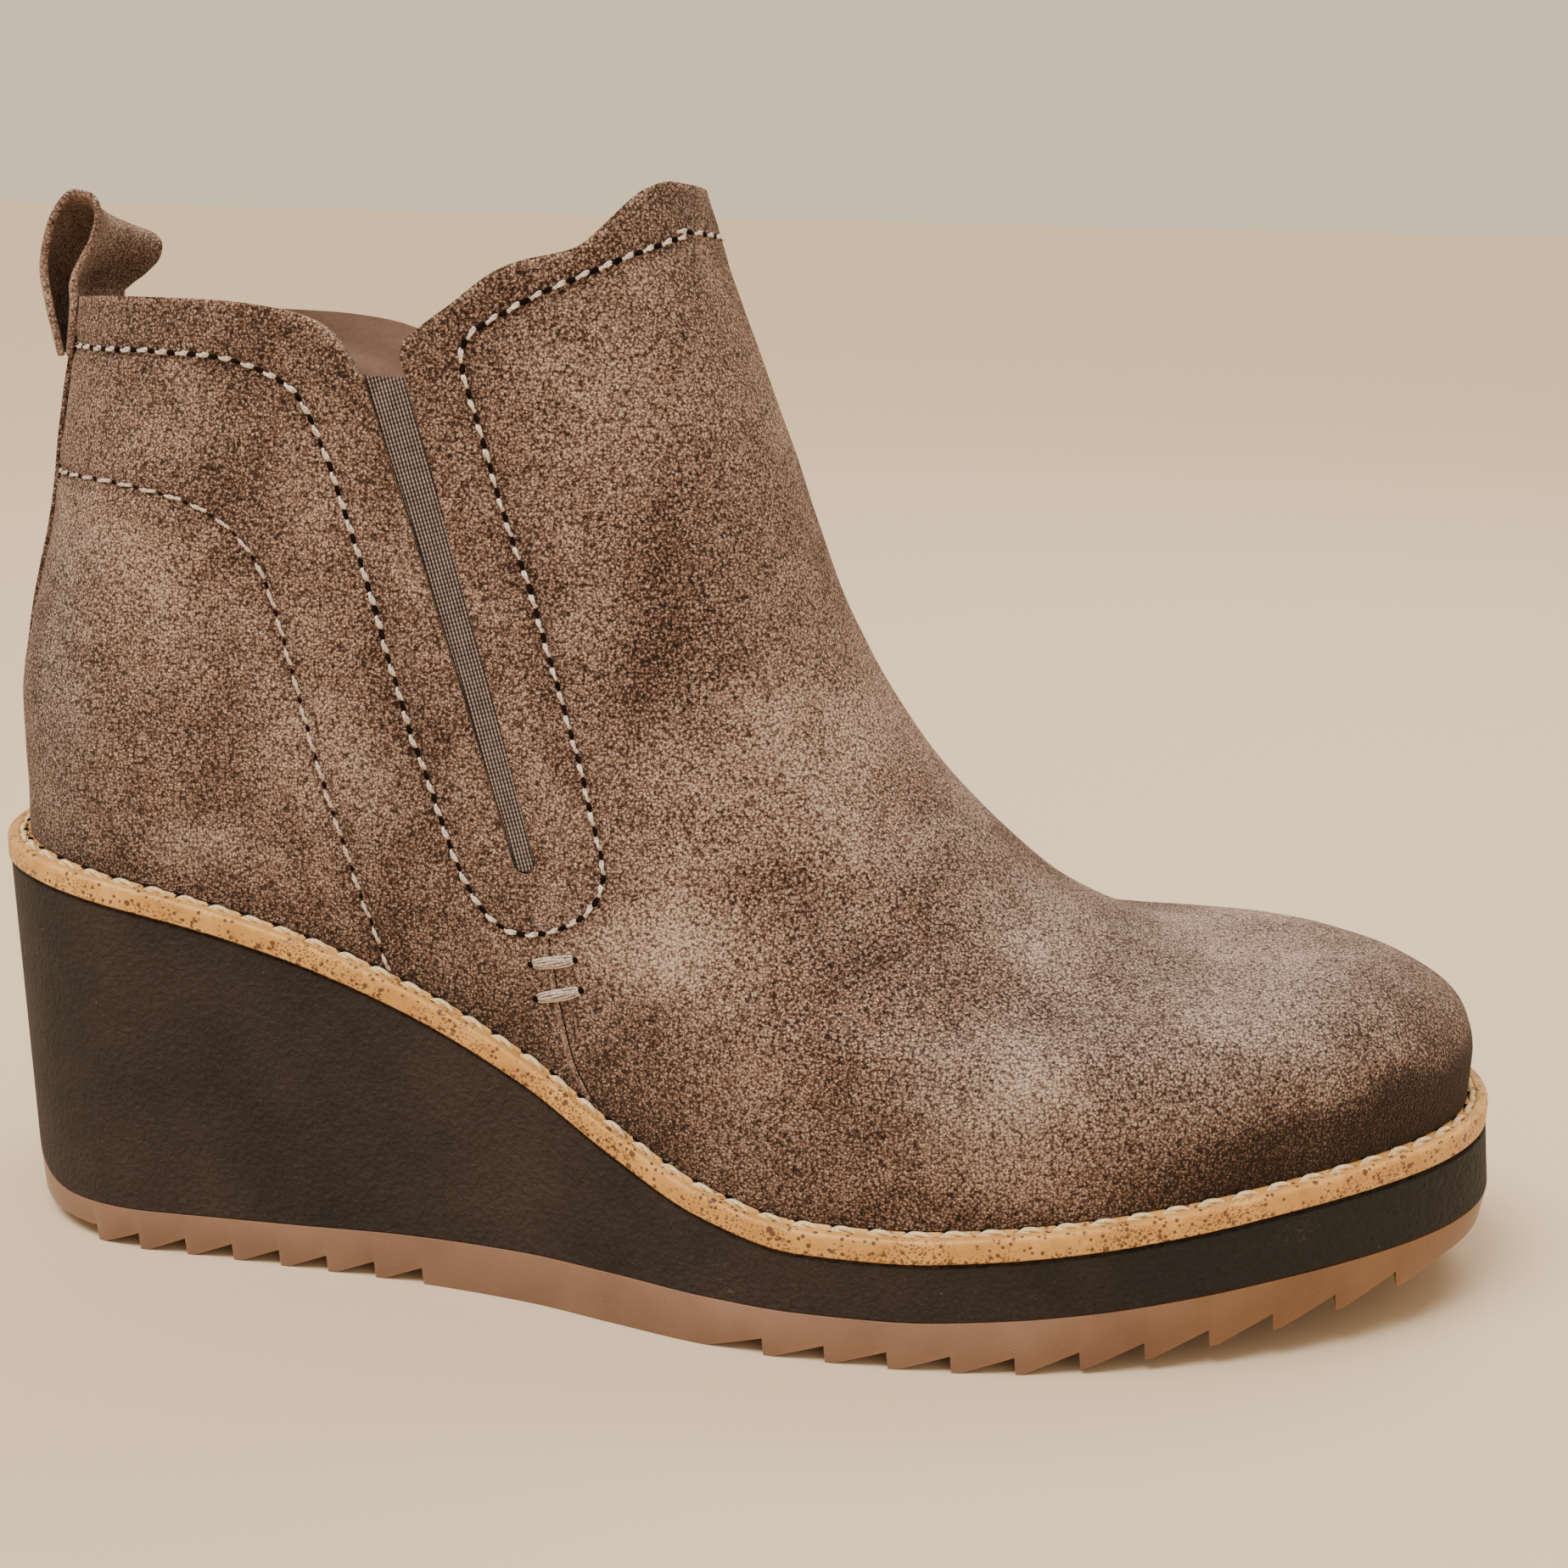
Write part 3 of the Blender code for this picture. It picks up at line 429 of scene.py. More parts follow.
def edge(x, side, back, front, inset):
    """y of an outline that runs from back to front and lies inset from the welt's edge."""
    width = BALL_HALF * sole("outer" if side == OUTER else "inner", x) - inset
    ends = rounding(x - back, HEEL_ROUND - inset, HEEL_FULLNESS)
    ends *= rounding(front - x, TOE_ROUND - inset, TOE_FULLNESS)
    return side * width * ends + TOE_SWING * sole("swing", x)


def sole_stations(heel_steps=8, toe_steps=13, spacing=0.010):
    """Places along the sole, close together at its round ends."""
    places = {0.0, LENGTH}
    places |= {
        HEEL_ROUND * (1 - math.cos(i * math.pi / 2 / heel_steps))
        for i in range(1, heel_steps + 1)
    }
    places |= {
        LENGTH - TOE_ROUND * (1 - math.cos(i * math.pi / 2 / toe_steps))
        for i in range(1, toe_steps + 1)
    }
    straight = LENGTH - TOE_ROUND - HEEL_ROUND
    count = round(straight / spacing)
    places |= {HEEL_ROUND + straight * i / count for i in range(1, count)}
    return sorted(places)


def outline(stations, back, front, inset):
    """The stations moved to run from back to front, with the widths there."""
    share = (front - back) / LENGTH
    places = [back + x * share for x in stations]
    return [
        (x, edge(x, OUTER, back, front, inset), edge(x, INNER, back, front, inset))
        for x in places
    ]


def fine_stations():
    return sole_stations(heel_steps=26, toe_steps=40, spacing=0.0035)


def boot_middle():
    """Half way between the welt's outermost points on either side."""
    line = outline(sole_stations(), 0.0, LENGTH, 0.0)
    return (min(o for _, o, _ in line) + max(i for _, _, i in line)) / 2


BOOT_PLACE = Vector((-(LENGTH + TOE_LEAN) / 2, -boot_middle(), 0.0))


# Meshes

def link(name, mesh, *materials):
    obj = bpy.data.objects.new(name, mesh)
    bpy.context.scene.collection.objects.link(obj)
    for material in materials:
        mesh.materials.append(material)
    return obj


def merged_mesh(name, points, faces):
    """A mesh with its doubles merged and its faces pointing out."""
    mesh = bpy.data.meshes.new(name)
    mesh.from_pydata(points, [], faces)
    bm = bmesh.new()
    bm.from_mesh(mesh)
    bmesh.ops.remove_doubles(bm, verts=bm.verts, dist=1e-6)
    bmesh.ops.dissolve_degenerate(bm, edges=bm.edges, dist=1e-7)
    bmesh.ops.recalc_face_normals(bm, faces=bm.faces)
    bm.to_mesh(mesh)
    bm.free()
    return mesh


def slab_mesh(name, rings):
    """A closed body through rings of stations (x, outer y, inner y, z)."""
    points, faces = [], []
    count = len(rings[0])
    for ring in rings:
        for x, outer, inner, z in ring:
            points += [(x, outer, z), (x, inner, z)]
    for k in range(len(rings) - 1):
        for i in range(count - 1):
            a, b = 2 * (k * count + i), 2 * ((k + 1) * count + i)
            faces += [(a, a + 2, b + 2, b), (a + 3, a + 1, b + 1, b + 3)]
    last = 2 * (len(rings) - 1) * count
    for i in range(count - 1):
        a, b = 2 * i, last + 2 * i
        faces += [(a, a + 1, a + 3, a + 2), (b, b + 2, b + 3, b + 1)]
    return merged_mesh(name, points, faces)


def band_mesh(name, loops):
    """A closed ring through loops of points, the last joined to the first."""
    count = len(loops[0])
    points = [p for loop in loops for p in loop]
    faces = []
    for k in range(len(loops)):
        for i in range(count):
            j, n = (i + 1) % count, (k + 1) % len(loops)
            faces.append(
                (k * count + i, k * count + j, n * count + j, n * count + i)
            )
    return merged_mesh(name, points, faces)


def prism_mesh(name, profile, near, far, slant):
    """A side-view profile (x, z) carried from y = near to y = far, falling by slant on the way."""
    count = len(profile)
    points = [(x, y, z - slant * y) for y in (near, far) for x, z in profile]
    faces = [tuple(range(count)), tuple(range(2 * count - 1, count - 1, -1))]
    for i in range(count):
        j = (i + 1) % count
        faces.append((i, j, count + j, count + i))
    return merged_mesh(name, points, faces)


def sheet_mesh(name, rows):
    """An open sheet through rows of points."""
    count = len(rows[0])
    points = [p for row in rows for p in row]
    faces = [
        (k * count + i, k * count + i + 1, (k + 1) * count + i + 1, (k + 1) * count + i)
        for k in range(len(rows) - 1)
        for i in range(count - 1)
    ]
    mesh = bpy.data.meshes.new(name)
    mesh.from_pydata(points, [], faces)
    return mesh


def shaped(obj, sharp=35.0):
    """Applies an object's modifiers, moves its mesh to the part's frame and smooths it."""
    evaluated = obj.evaluated_get(bpy.context.evaluated_depsgraph_get())
    mesh = bpy.data.meshes.new_from_object(evaluated)
    obj.modifiers.clear()
    obj.data = mesh
    mesh.name = obj.name
    mesh.transform(Matrix.Translation(BOOT_PLACE))
    mesh.shade_smooth()
    mesh.set_sharp_from_angle(angle=math.radians(sharp))
    return obj


def thicken(obj, thickness, offset):
    wall = obj.modifiers.new("Wall", "SOLIDIFY")
    wall.thickness = thickness
    wall.offset = offset
    wall.use_even_offset = True
    return wall


def round_edges(obj, width, angle):
    bevel = obj.modifiers.new("Edges", "BEVEL")
    bevel.width = width
    bevel.segments = 2
    bevel.limit_method = "ANGLE"
    bevel.angle_limit = math.radians(angle)


def ride(obj, slot=None, *nodes):
    """Fixes a piece to the boot and hides the CAD nodes that it stands for. The slot is not used."""
    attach(obj, "root")
    if nodes:
        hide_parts(*nodes)
    return obj


def ride_mesh(name, points, faces, material, slot=None, sharp=35.0):
    """A piece made of points and faces, fixed to the boot."""
    return ride(shaped(link(name, merged_mesh(name, points, faces), material), sharp), slot)


def smooth_line(points, spacing):
    """Points at an even spacing along a smooth curve through the given ones."""
    dense = []
    for i in range(len(points) - 1):
        before = points[max(i - 1, 0)]
        start, stop = points[i], points[i + 1]
        after = points[min(i + 2, len(points) - 1)]
        for step in range(12):
            t = step / 12
            dense.append(
                0.5
                * (
                    2 * start
                    + (stop - before) * t
                    + (2 * before - 5 * start + 4 * stop - after) * t**2
                    + (3 * start - before - 3 * stop + after) * t**3
                )
            )
    dense.append(points[-1])
    lengths = [0.0]
    for a, b in zip(dense, dense[1:]):
        lengths.append(lengths[-1] + (b - a).length)
    count = max(round(lengths[-1] / spacing), 1)
    line, k = [], 0
    for i in range(count + 1):
        at = lengths[-1] * i / count
        while k < len(dense) - 2 and lengths[k + 1] < at:
            k += 1
        share = (at - lengths[k]) / max(lengths[k + 1] - lengths[k], 1e-9)
        line.append(dense[k].lerp(dense[k + 1], min(share, 1.0)))
    return line


def side_line(rows, spacing=0.0005):
    return smooth_line([Vector((x, 0.0, z)) / 1000 for x, z in rows], spacing)


# Shaders

class Term:
    """A shader socket that is reckoned with in plain sums."""

    def __init__(self, finish, socket):
        self.finish = finish
        self.socket = socket

    def __add__(self, other):
        return self.finish.sum("ADD", self, other)

    def __radd__(self, other):
        return self.finish.sum("ADD", other, self)

    def __sub__(self, other):
        return self.finish.sum("SUBTRACT", self, other)

    def __rsub__(self, other):
        return self.finish.sum("SUBTRACT", other, self)

    def __mul__(self, other):
        return self.finish.sum("MULTIPLY", self, other)

    def __rmul__(self, other):
        return self.finish.sum("MULTIPLY", other, self)

    def __pow__(self, other):
        return self.finish.sum("POWER", self, other)

    def __abs__(self):
        return self.finish.sum("ABSOLUTE", self)

    def sine(self):
        return self.finish.sum("SINE", self)

    def clamped(self):
        return self.finish.sum("ADD", self, 0.0, use_clamp=True)

    def step(self, low, high):
        """0 below low, 1 above high, smooth between."""
        return self.finish.node(
            "ShaderNodeMapRange",
            {"interpolation_type": "SMOOTHSTEP"},
            Value=self,
            **{"From Min": low, "From Max": high},
        )["Result"]


def find_input(node, name):
    """A node's input by its name, or by its identifier where several share a name."""
    return next(i for i in node.inputs if name in (i.identifier, i.name))


class Finish:
    """A material and the nodes that make it."""

    def __init__(self, name, **fixed):
        self.material = bpy.data.materials.new(name)
        self.material.use_nodes = True
        self.tree = self.material.node_tree
        self.surface = self.tree.nodes["Principled BSDF"]
        for socket, value in fixed.items():
            self.surface.inputs[socket.replace("_", " ")].default_value = value
        self.place = self.node("ShaderNodeTexCoord")["Object"]

    def plug(self, socket, value):
        if isinstance(value, Term):
            self.tree.links.new(value.socket, socket)
        elif isinstance(value, tuple) and len(value) == 3 and len(socket.default_value) == 4:
            socket.default_value = (*value, 1.0)
        else:
            socket.default_value = value

    def node(self, kind, settings=None, **values):
        node = self.tree.nodes.new(kind)
        for setting, value in (settings or {}).items():
            setattr(node, setting, value)
        for socket, value in values.items():
            self.plug(find_input(node, socket), value)
        return {out.name: Term(self, out) for out in node.outputs if out.enabled}

    def sum(self, operation, *terms, use_clamp=False):
        node = self.tree.nodes.new("ShaderNodeMath")
        node.operation = operation
        node.use_clamp = use_clamp
        for socket, term in zip(node.inputs, terms):
            self.plug(socket, term)
        return Term(self, node.outputs[0])

    def noise(self, scale, detail=2.0, roughness=0.5, distortion=0.0):
        return self.node(
            "ShaderNodeTexNoise",
            Vector=self.place,
            Scale=scale,
            Detail=detail,
            Roughness=roughness,
            Distortion=distortion,
        )["Fac"]

    def spots(self, scale, size):
        """Round spots of a size, as a share of their spacing, 1 inside and 0 outside."""
        cells = self.node(
            "ShaderNodeTexVoronoi", Vector=self.place, Scale=scale, Randomness=1.0
        )
        return 1 - cells["Distance"].step(size * 0.75, size)

    def attribute(self, name):
        return self.node("ShaderNodeAttribute", {"attribute_name": name})["Fac"]

    def ramp(self, value, stops):
        node = self.tree.nodes.new("ShaderNodeValToRGB")
        elements = node.color_ramp.elements
        while len(elements) < len(stops):
            elements.new(0.5)
        for element, (position, colour) in zip(elements, stops):
            element.position = position
            element.color = (*colour, 1.0)
        self.plug(node.inputs["Fac"], value)
        return Term(self, node.outputs["Color"])

    def blend(self, share, low, high):
        node = self.tree.nodes.new("ShaderNodeMix")
        node.data_type = "RGBA"
        node.clamp_factor = True
        self.plug(node.inputs[0], share)
        self.plug(node.inputs[6], low)
        self.plug(node.inputs[7], high)
        return Term(self, node.outputs[2])

    def turned(self, angle):
        """The place, turned about Y so that its x runs at an angle."""
        return self.node(
            "ShaderNodeMapping",
            {"vector_type": "POINT"},
            Vector=self.place,
            Rotation=(0.0, angle, 0.0),
        )["Vector"]

    def axes(self, vector):
        split = self.node("ShaderNodeSeparateXYZ", Vector=vector)
        return split["X"], split["Y"], split["Z"]

    def relief(self, height, distance, strength=1.0):
        self.tree.links.new(
            self.node(
                "ShaderNodeBump", Height=height, Distance=distance, Strength=strength
            )["Normal"].socket,
            self.surface.inputs["Normal"],
        )

    def coat(self, colour, roughness=None):
        self.plug(self.surface.inputs["Base Color"], colour)
        if roughness is not None:
            self.plug(self.surface.inputs["Roughness"], roughness)
        return self.material


SUEDE_TONES = [
    (0.00, (0.012, 0.0058, 0.0034)),
    (0.22, (0.044, 0.0215, 0.0130)),
    (0.42, (0.126, 0.0690, 0.0490)),
    (0.60, (0.244, 0.1490, 0.1090)),
    (0.80, (0.430, 0.2950, 0.2250)),
    (1.00, (0.660, 0.5100, 0.4050)),
]
SUEDE_GREYS = [
    (0.00, (0.014, 0.0080, 0.0062)),
    (0.22, (0.048, 0.0290, 0.0225)),
    (0.42, (0.125, 0.0820, 0.0650)),
    (0.60, (0.232, 0.1600, 0.1290)),
    (0.80, (0.390, 0.2950, 0.2420)),
    (1.00, (0.590, 0.4750, 0.3950)),
]


def suede_finish(name, tone=0.5, patchy=True, contrast=1.0):
    """Brushed suede: crinkled fibres with pale tips, painted shade in the hollows between them, and
    cloudy patches.
    """
    finish = Finish(
        name,
        Roughness=0.95,
        Sheen_Weight=0.16,
        Sheen_Roughness=0.5,
        Sheen_Tint=(0.86, 0.70, 0.58, 1.0),
        Specular_IOR_Level=0.12,
    )
    bend = finish.node(
        "ShaderNodeTexNoise", Vector=finish.place, Scale=2100.0, Detail=1.0
    )["Color"]
    bent = finish.node(
        "ShaderNodeVectorMath",
        {"operation": "MULTIPLY_ADD"},
        **{"Vector": bend, "Vector_001": (0.0007, 0.0007, 0.0007), "Vector_002": finish.place},
    )["Vector"]
    nubs = finish.node("ShaderNodeTexVoronoi", Vector=bent, Scale=1900.0, Randomness=0.8)["Distance"]
    fine = finish.noise(3000.0, 1.0, 0.5, 0.6)
    clumps = finish.noise(430.0, 2.0, 0.6, 0.9)
    clouds = finish.noise(62.0, 4.0, 0.62, 0.6)
    broad = finish.noise(24.0, 3.0, 0.55, 0.3)
    # Nubs paler at their middles, like fibre tips, and darker towards their edges, which is painted
    # shade in the hollows.
    tips_and_hollow_shade = (0.50 - nubs) * 1.15 * contrast + (fine - 0.5) * 1.1 * contrast
    shade = tips_and_hollow_shade + (clumps - 0.5) * 0.10 + (clouds - 0.5) * 0.60 + (broad - 0.5) * 0.40
    if patchy:
        shade = shade + finish.attribute("tone")
        grey = (finish.attribute("grey") + (clouds - 0.5) * 1.2).clamped()
    else:
        shade = shade + tone
        grey = (clouds * 0.5).clamped()
    warm = finish.ramp(shade, SUEDE_TONES)
    cool = finish.ramp(shade, SUEDE_GREYS)
    finish.relief(0.6 - nubs * 0.9 + fine * 0.6 + clumps * 0.3, 0.0006, 1.0)
    return finish.coat(finish.blend(grey, warm, cool))


def lining_finish():
    """Smooth pigskin lining."""
    finish = Finish("lining", Roughness=0.62, Specular_IOR_Level=0.35)
    pores = finish.spots(1100.0, 0.16)
    cloud = finish.noise(90.0, 3.0)
    finish.relief(finish.noise(900.0, 3.0) - pores * 0.6, 0.0001, 0.6)
    colour = finish.ramp(cloud, [(0.3, (0.205, 0.120, 0.085)), (0.7, (0.310, 0.192, 0.142))])
    return finish.coat(finish.blend(pores * 0.5, colour, (0.08, 0.04, 0.03)))


def footbed_finish():
    finish = Finish("footbed_leather", Roughness=0.6, Specular_IOR_Level=0.35)
    cloud = finish.noise(70.0, 4.0)
    finish.relief(finish.noise(1300.0, 3.0), 0.0001, 0.6)
    return finish.coat(
        finish.ramp(cloud, [(0.3, (0.330, 0.190, 0.115)), (0.7, (0.450, 0.280, 0.175))])
    )


def crepe_finish():
    """Honey crepe with brown specks of several sizes."""
    finish = Finish(
        "welt_crepe", Roughness=0.46, Specular_IOR_Level=0.45, Subsurface_Weight=0.08,
        Subsurface_Scale=0.003,
    )
    cloud = finish.noise(150.0, 4.0, 0.65)
    honey = finish.ramp(
        cloud,
        [(0.25, (0.450, 0.215, 0.050)), (0.55, (0.580, 0.305, 0.082)), (0.8, (0.720, 0.430, 0.150))],
    )
    low = finish.attribute("low")
    busy = (finish.noise(110.0, 2.0) + low * 0.22).step(0.44, 0.66)
    small = finish.spots(1900.0, 0.44) * busy
    middle = finish.spots(900.0, 0.34) * (finish.noise(290.0, 1.0) + low * 0.12).step(0.46, 0.54)
    large = finish.spots(430.0, 0.25) * (finish.noise(170.0, 1.0) + low * 0.10).step(0.50, 0.57)
    specks = (small * 0.8 + middle + large).clamped()
    finish.relief(finish.noise(700.0, 3.0) - specks * 0.5, 0.00015, 0.6)
    return finish.coat(finish.blend(specks * 0.9, honey, (0.085, 0.028, 0.014)))


def foam_finish():
    """Dark matte foam with a fine leathery grain and a little dust."""
    finish = Finish("wedge_foam", Specular_IOR_Level=0.30)
    along, _, _ = finish.axes(finish.place)
    grain = finish.noise(760.0, 3.0, 0.62, 0.8)
    cells = finish.node("ShaderNodeTexVoronoi", Vector=finish.place, Scale=950.0)["Distance"]
    cloud = finish.noise(45.0, 4.0, 0.6)
    dust = finish.spots(420.0, 0.045) * finish.noise(60.0, 2.0).step(0.5, 0.6)
    lint = finish.noise(260.0, 1.0, 0.5, 3.0)
    scuff = (1 - abs(lint - 0.5) * 60.0).clamped() * finish.noise(80.0, 1.0).step(0.62, 0.70)
    colour = finish.ramp(
        cloud + (grain - 0.5) * 0.5 - along.step(0.02, 0.10) * 0.42,
        [(0.20, (0.0095, 0.0068, 0.0060)), (0.75, (0.0345, 0.0228, 0.0195))],
    )
    colour = finish.blend(scuff * 0.25, colour, (0.16, 0.13, 0.11))
    finish.relief(grain * 1.4 + cells * 0.5, 0.0006, 1.0)
    return finish.coat(
        finish.blend(dust * 0.6, colour, (0.30, 0.25, 0.21)), 0.70 + (grain - 0.5) * 0.3
    )


def gum_finish():
    """Milky gum rubber, more amber towards the toe."""
    finish = Finish(
        "gum_rubber", Specular_IOR_Level=0.42, Subsurface_Weight=0.35, Subsurface_Scale=0.004,
        Subsurface_Radius=(1.0, 0.5, 0.28),
    )
    along, _, up = finish.axes(finish.place)
    cloud = finish.noise(60.0, 3.0)
    taupe = finish.ramp(cloud, [(0.3, (0.185, 0.102, 0.066)), (0.7, (0.250, 0.146, 0.098))])
    amber = finish.ramp(cloud, [(0.3, (0.150, 0.072, 0.028)), (0.7, (0.215, 0.108, 0.044))])
    colour = finish.blend(along.step(0.045, 0.100), taupe, amber)
    # Painted glints: small pale specks in scattered clusters.
    glint_specks = finish.spots(1700.0, 0.13) * finish.noise(160.0, 2.0).step(0.45, 0.6)
    grit = finish.spots(900.0, 0.10) * (1 - up.step(0.0, 0.004))
    colour = finish.blend(glint_specks * 0.35, colour, (0.62, 0.52, 0.44))
    colour = finish.blend(grit * 0.5, colour, (0.12, 0.07, 0.05))
    finish.relief(finish.noise(620.0, 3.0), 0.00012, 0.5)
    return finish.coat(colour, 0.42 + (cloud - 0.5) * 0.3)


GORE_LEAN = math.atan2(GORE_FOOT_AT - GORE_TOP_AT, COLLAR_DIP - GORE_FOOT)
CORD = 0.00058  # spacing of the elastic's lengthwise cords
PICK = 0.00068  # spacing of its cross threads


def elastic_finish():
    """Woven elastic: rows of cords with fine cross threads."""
    finish = Finish("elastic", Roughness=0.85, Specular_IOR_Level=0.2, Sheen_Weight=0.08)
    across, _, along = finish.axes(finish.turned(GORE_LEAN))
    wander = finish.noise(260.0, 2.0) * 0.4
    cords = abs((across * (math.pi / CORD) + wander).sine())
    picks = abs((along * (math.pi / PICK) + wander).sine()) ** 0.5
    weave = cords * (0.55 + picks * 0.45)
    colour = finish.ramp(
        weave + (finish.noise(700.0, 2.0) - 0.5) * 0.35,
        [(0.30, (0.005, 0.004, 0.005)), (0.64, (0.078, 0.053, 0.047)), (0.95, (0.450, 0.335, 0.285))],
    )
    finish.relief(weave, 0.0004, 0.9)
    return finish.coat(colour)


def thread_finish(name, dark, light):
    finish = Finish(name, Roughness=0.72, Specular_IOR_Level=0.3, Sheen_Weight=0.15)
    strands = finish.noise(2600.0, 2.0, 0.5, 1.0)
    finish.relief(strands, 0.0001, 0.5)
    return finish.coat(finish.ramp(strands, [(0.3, dark), (0.62, light)]))


def hole_shade_finish():
    # Painted shade: near-black, for the inside of needle holes, tack holes and the vamp seam's gap.
    finish = Finish("needle_holes", Roughness=0.95, Specular_IOR_Level=0.05)
    return finish.coat(
        finish.ramp(finish.noise(900.0), [(0.3, (0.003, 0.002, 0.002)), (0.7, (0.012, 0.007, 0.006))])
    )


# Pieces of the sole

def make_outsole(material):
    back, front = HEEL_RAKE, LENGTH + TREAD_FRONT
    teeth = tread_profile(back)
    share = (front - back) / LENGTH
    tips = [(x - back) / share for x, _ in teeth]
    clear = 0.0006  # no station comes closer to a tooth's corner
    places = {x for x in fine_stations() if all(abs(x - tip) > clear for tip in tips)}
    stations = sorted(places | set(tips))
    xs = [x for x, _ in teeth]
    zs = [z for _, z in teeth]

    def underside(x):
        if x < xs[0] - 1e-7:
            return tread_base(x, back) + HEEL_LIP
        if x > xs[-1] + 1e-7:
            blend = min((x - xs[-1]) / TOE_LIP_RUN, 1.0)
            return tread_base(x, back) + TOE_LIP * blend
        k = max(i for i in range(len(xs)) if xs[i] <= x + 1e-7)
        n = min(k + 1, len(xs) - 1)
        t = (x - xs[k]) / max(xs[n] - xs[k], 1e-9)
        return zs[k] + (zs[n] - zs[k]) * min(max(t, 0.0), 1.0)

    low = outline(stations, back, front, SIDE_DRAFT)
    high = outline(stations, JOINT_RAKE, LENGTH + TOE_LEAN, JOINT_DRAFT)
    rings = [
        [(x, o, i, underside(x)) for x, o, i in low],
        [(x, o, i, outsole_top(x, JOINT_RAKE)) for x, o, i in high],
    ]
    outsole = link("gum_outsole", slab_mesh("gum_outsole", rings), material)
    round_edges(outsole, 0.00016, 38)
    return ride(shaped(outsole, 50.0), "gum", "outsole")


def tread_profile(back):
    """Places and heights of the outsole's underside, with its two runs of saw teeth."""
    profile = []

    def run_of_teeth(start, pitch, count):
        for i in range(count + 1):
            riser = start + i * pitch
            profile.append((riser - TOOTH_RISER / 2, tread_base(riser, back) + TOOTH_DEPTH))
            profile.append((riser + TOOTH_RISER / 2, tread_base(riser, back)))
            profile.append((riser + TOOTH_LAND, tread_base(riser + TOOTH_LAND, back)))

    run_of_teeth(HEEL_TREAD_START, HEEL_TOOTH, HEEL_TEETH)
    flat_end = BALL_TREAD_START - BALL_RAMP
    profile.append((flat_end, tread_base(flat_end, back)))
    run_of_teeth(BALL_TREAD_START, BALL_TOOTH, BALL_TEETH)
    return profile


def make_wedge(material):
    stations = fine_stations()
    inset = WEDGE_INSET + WEDGE_BEVEL
    bottom = outline(stations, JOINT_RAKE, LENGTH + TOE_LEAN, JOINT_DRAFT)
    top = outline(stations, WEDGE_INSET, LENGTH, WEDGE_INSET)
    rim = outline(stations, inset, LENGTH - inset, inset)
    low = [(x, o, i, outsole_top(x, JOINT_RAKE) + FIT) for x, o, i in bottom]
    high = [(x, o, i, welt_base(x) - WEDGE_BEVEL) for x, o, i in top]
    steps = 8
    rings = [
        [
            tuple(a + (b - a) * (k / steps) for a, b in zip(start, stop))
            for start, stop in zip(low, high)
        ]
        for k in range(steps + 1)
    ]
    rings.append([(x, o, i, welt_base(x)) for x, o, i in rim])
    wedge = link("foam_wedge", slab_mesh("foam_wedge", rings), material)
    return ride(shaped(wedge), "foam", "wedge")


def closed_loop(stations, inset, height):
    """The points round an outline at an inset, at heights given by a function of x."""
    line = outline(stations, inset, LENGTH - inset, inset)
    outer = [(x, o, height(x)) for x, o, _ in line]
    inner = [(x, i, height(x)) for x, _, i in line[-2:0:-1]]
    return outer + inner


def welt_top(x):
    return welt_base(x) + FIT + WELT


def make_welt(material):
    """The welt, with rounded edges and a groove for its stitches beside the upper."""
    stations = fine_stations()
    chamfer = 0.0003  # of its lower edge
    profile = [(WELT_REACH, -WELT), (chamfer, -WELT), (0.0, chamfer - WELT), (0.0, -WELT * 0.5)]
    for k in range(6):
        a = k / 5 * math.pi / 2
        profile.append((WELT_ROUND * (1 - math.cos(a)), WELT_ROUND * (math.sin(a) - 1)))
    for k in range(9):
        t = k / 4 - 1
        profile.append((STITCH_LANE + LANE_HALF * t, -LANE_DEEP * (1 - t * t)))
    profile.append((WELT_REACH, 0.0))
    loops = [
        closed_loop(stations, inset, lambda x, drop=drop: welt_top(x) + drop)
        for inset, drop in profile
    ]
    welt = link("crepe_welt", band_mesh("crepe_welt", loops), material)
    shaped(welt)
    low = welt.data.attributes.new("low", "FLOAT", "POINT")
    for vert, item in zip(welt.data.vertices, low.data):
        x, _, z = vert.co - BOOT_PLACE
        item.value = (welt_top(x) - z) / WELT
    return ride(welt, "crepe", "welt")


# Upper

def ring_value(column, level):
    return read_curve(range(len(RINGS)), [getattr(r, column) for r in RINGS], level)


def ring_point(level, share, side):
    """A point of the upper's outer face: level counts rows of RINGS, share runs back to front."""
    back = ring_value("back", level) * LENGTH
    front = ring_value("front", level) * LENGTH
    x = back + share * (front - back)
    up = (1 - share) * ring_value("back_up", level) * QUARTER
    up += share * ring_value("front_up", level) * FRONT
    column = "outer" if side == OUTER else "inner"
    width = (BALL_HALF * sole(column, x) - WELT_SHOW) * ring_value(column, level)
    ends = rounding(x - back, HEEL_CUP * ring_value("cup", level), HEEL_FULLNESS)
    ends *= rounding(front - x, TOE_ROUND * ring_value("nose", level), TOE_FULLNESS)
    return Vector((x, side * width * ends + TOE_SWING * sole("swing", x), upper_base(x) + up))


def side_point(x, z, y):
    return Vector((x, z + COLLAR_SLANT * y))


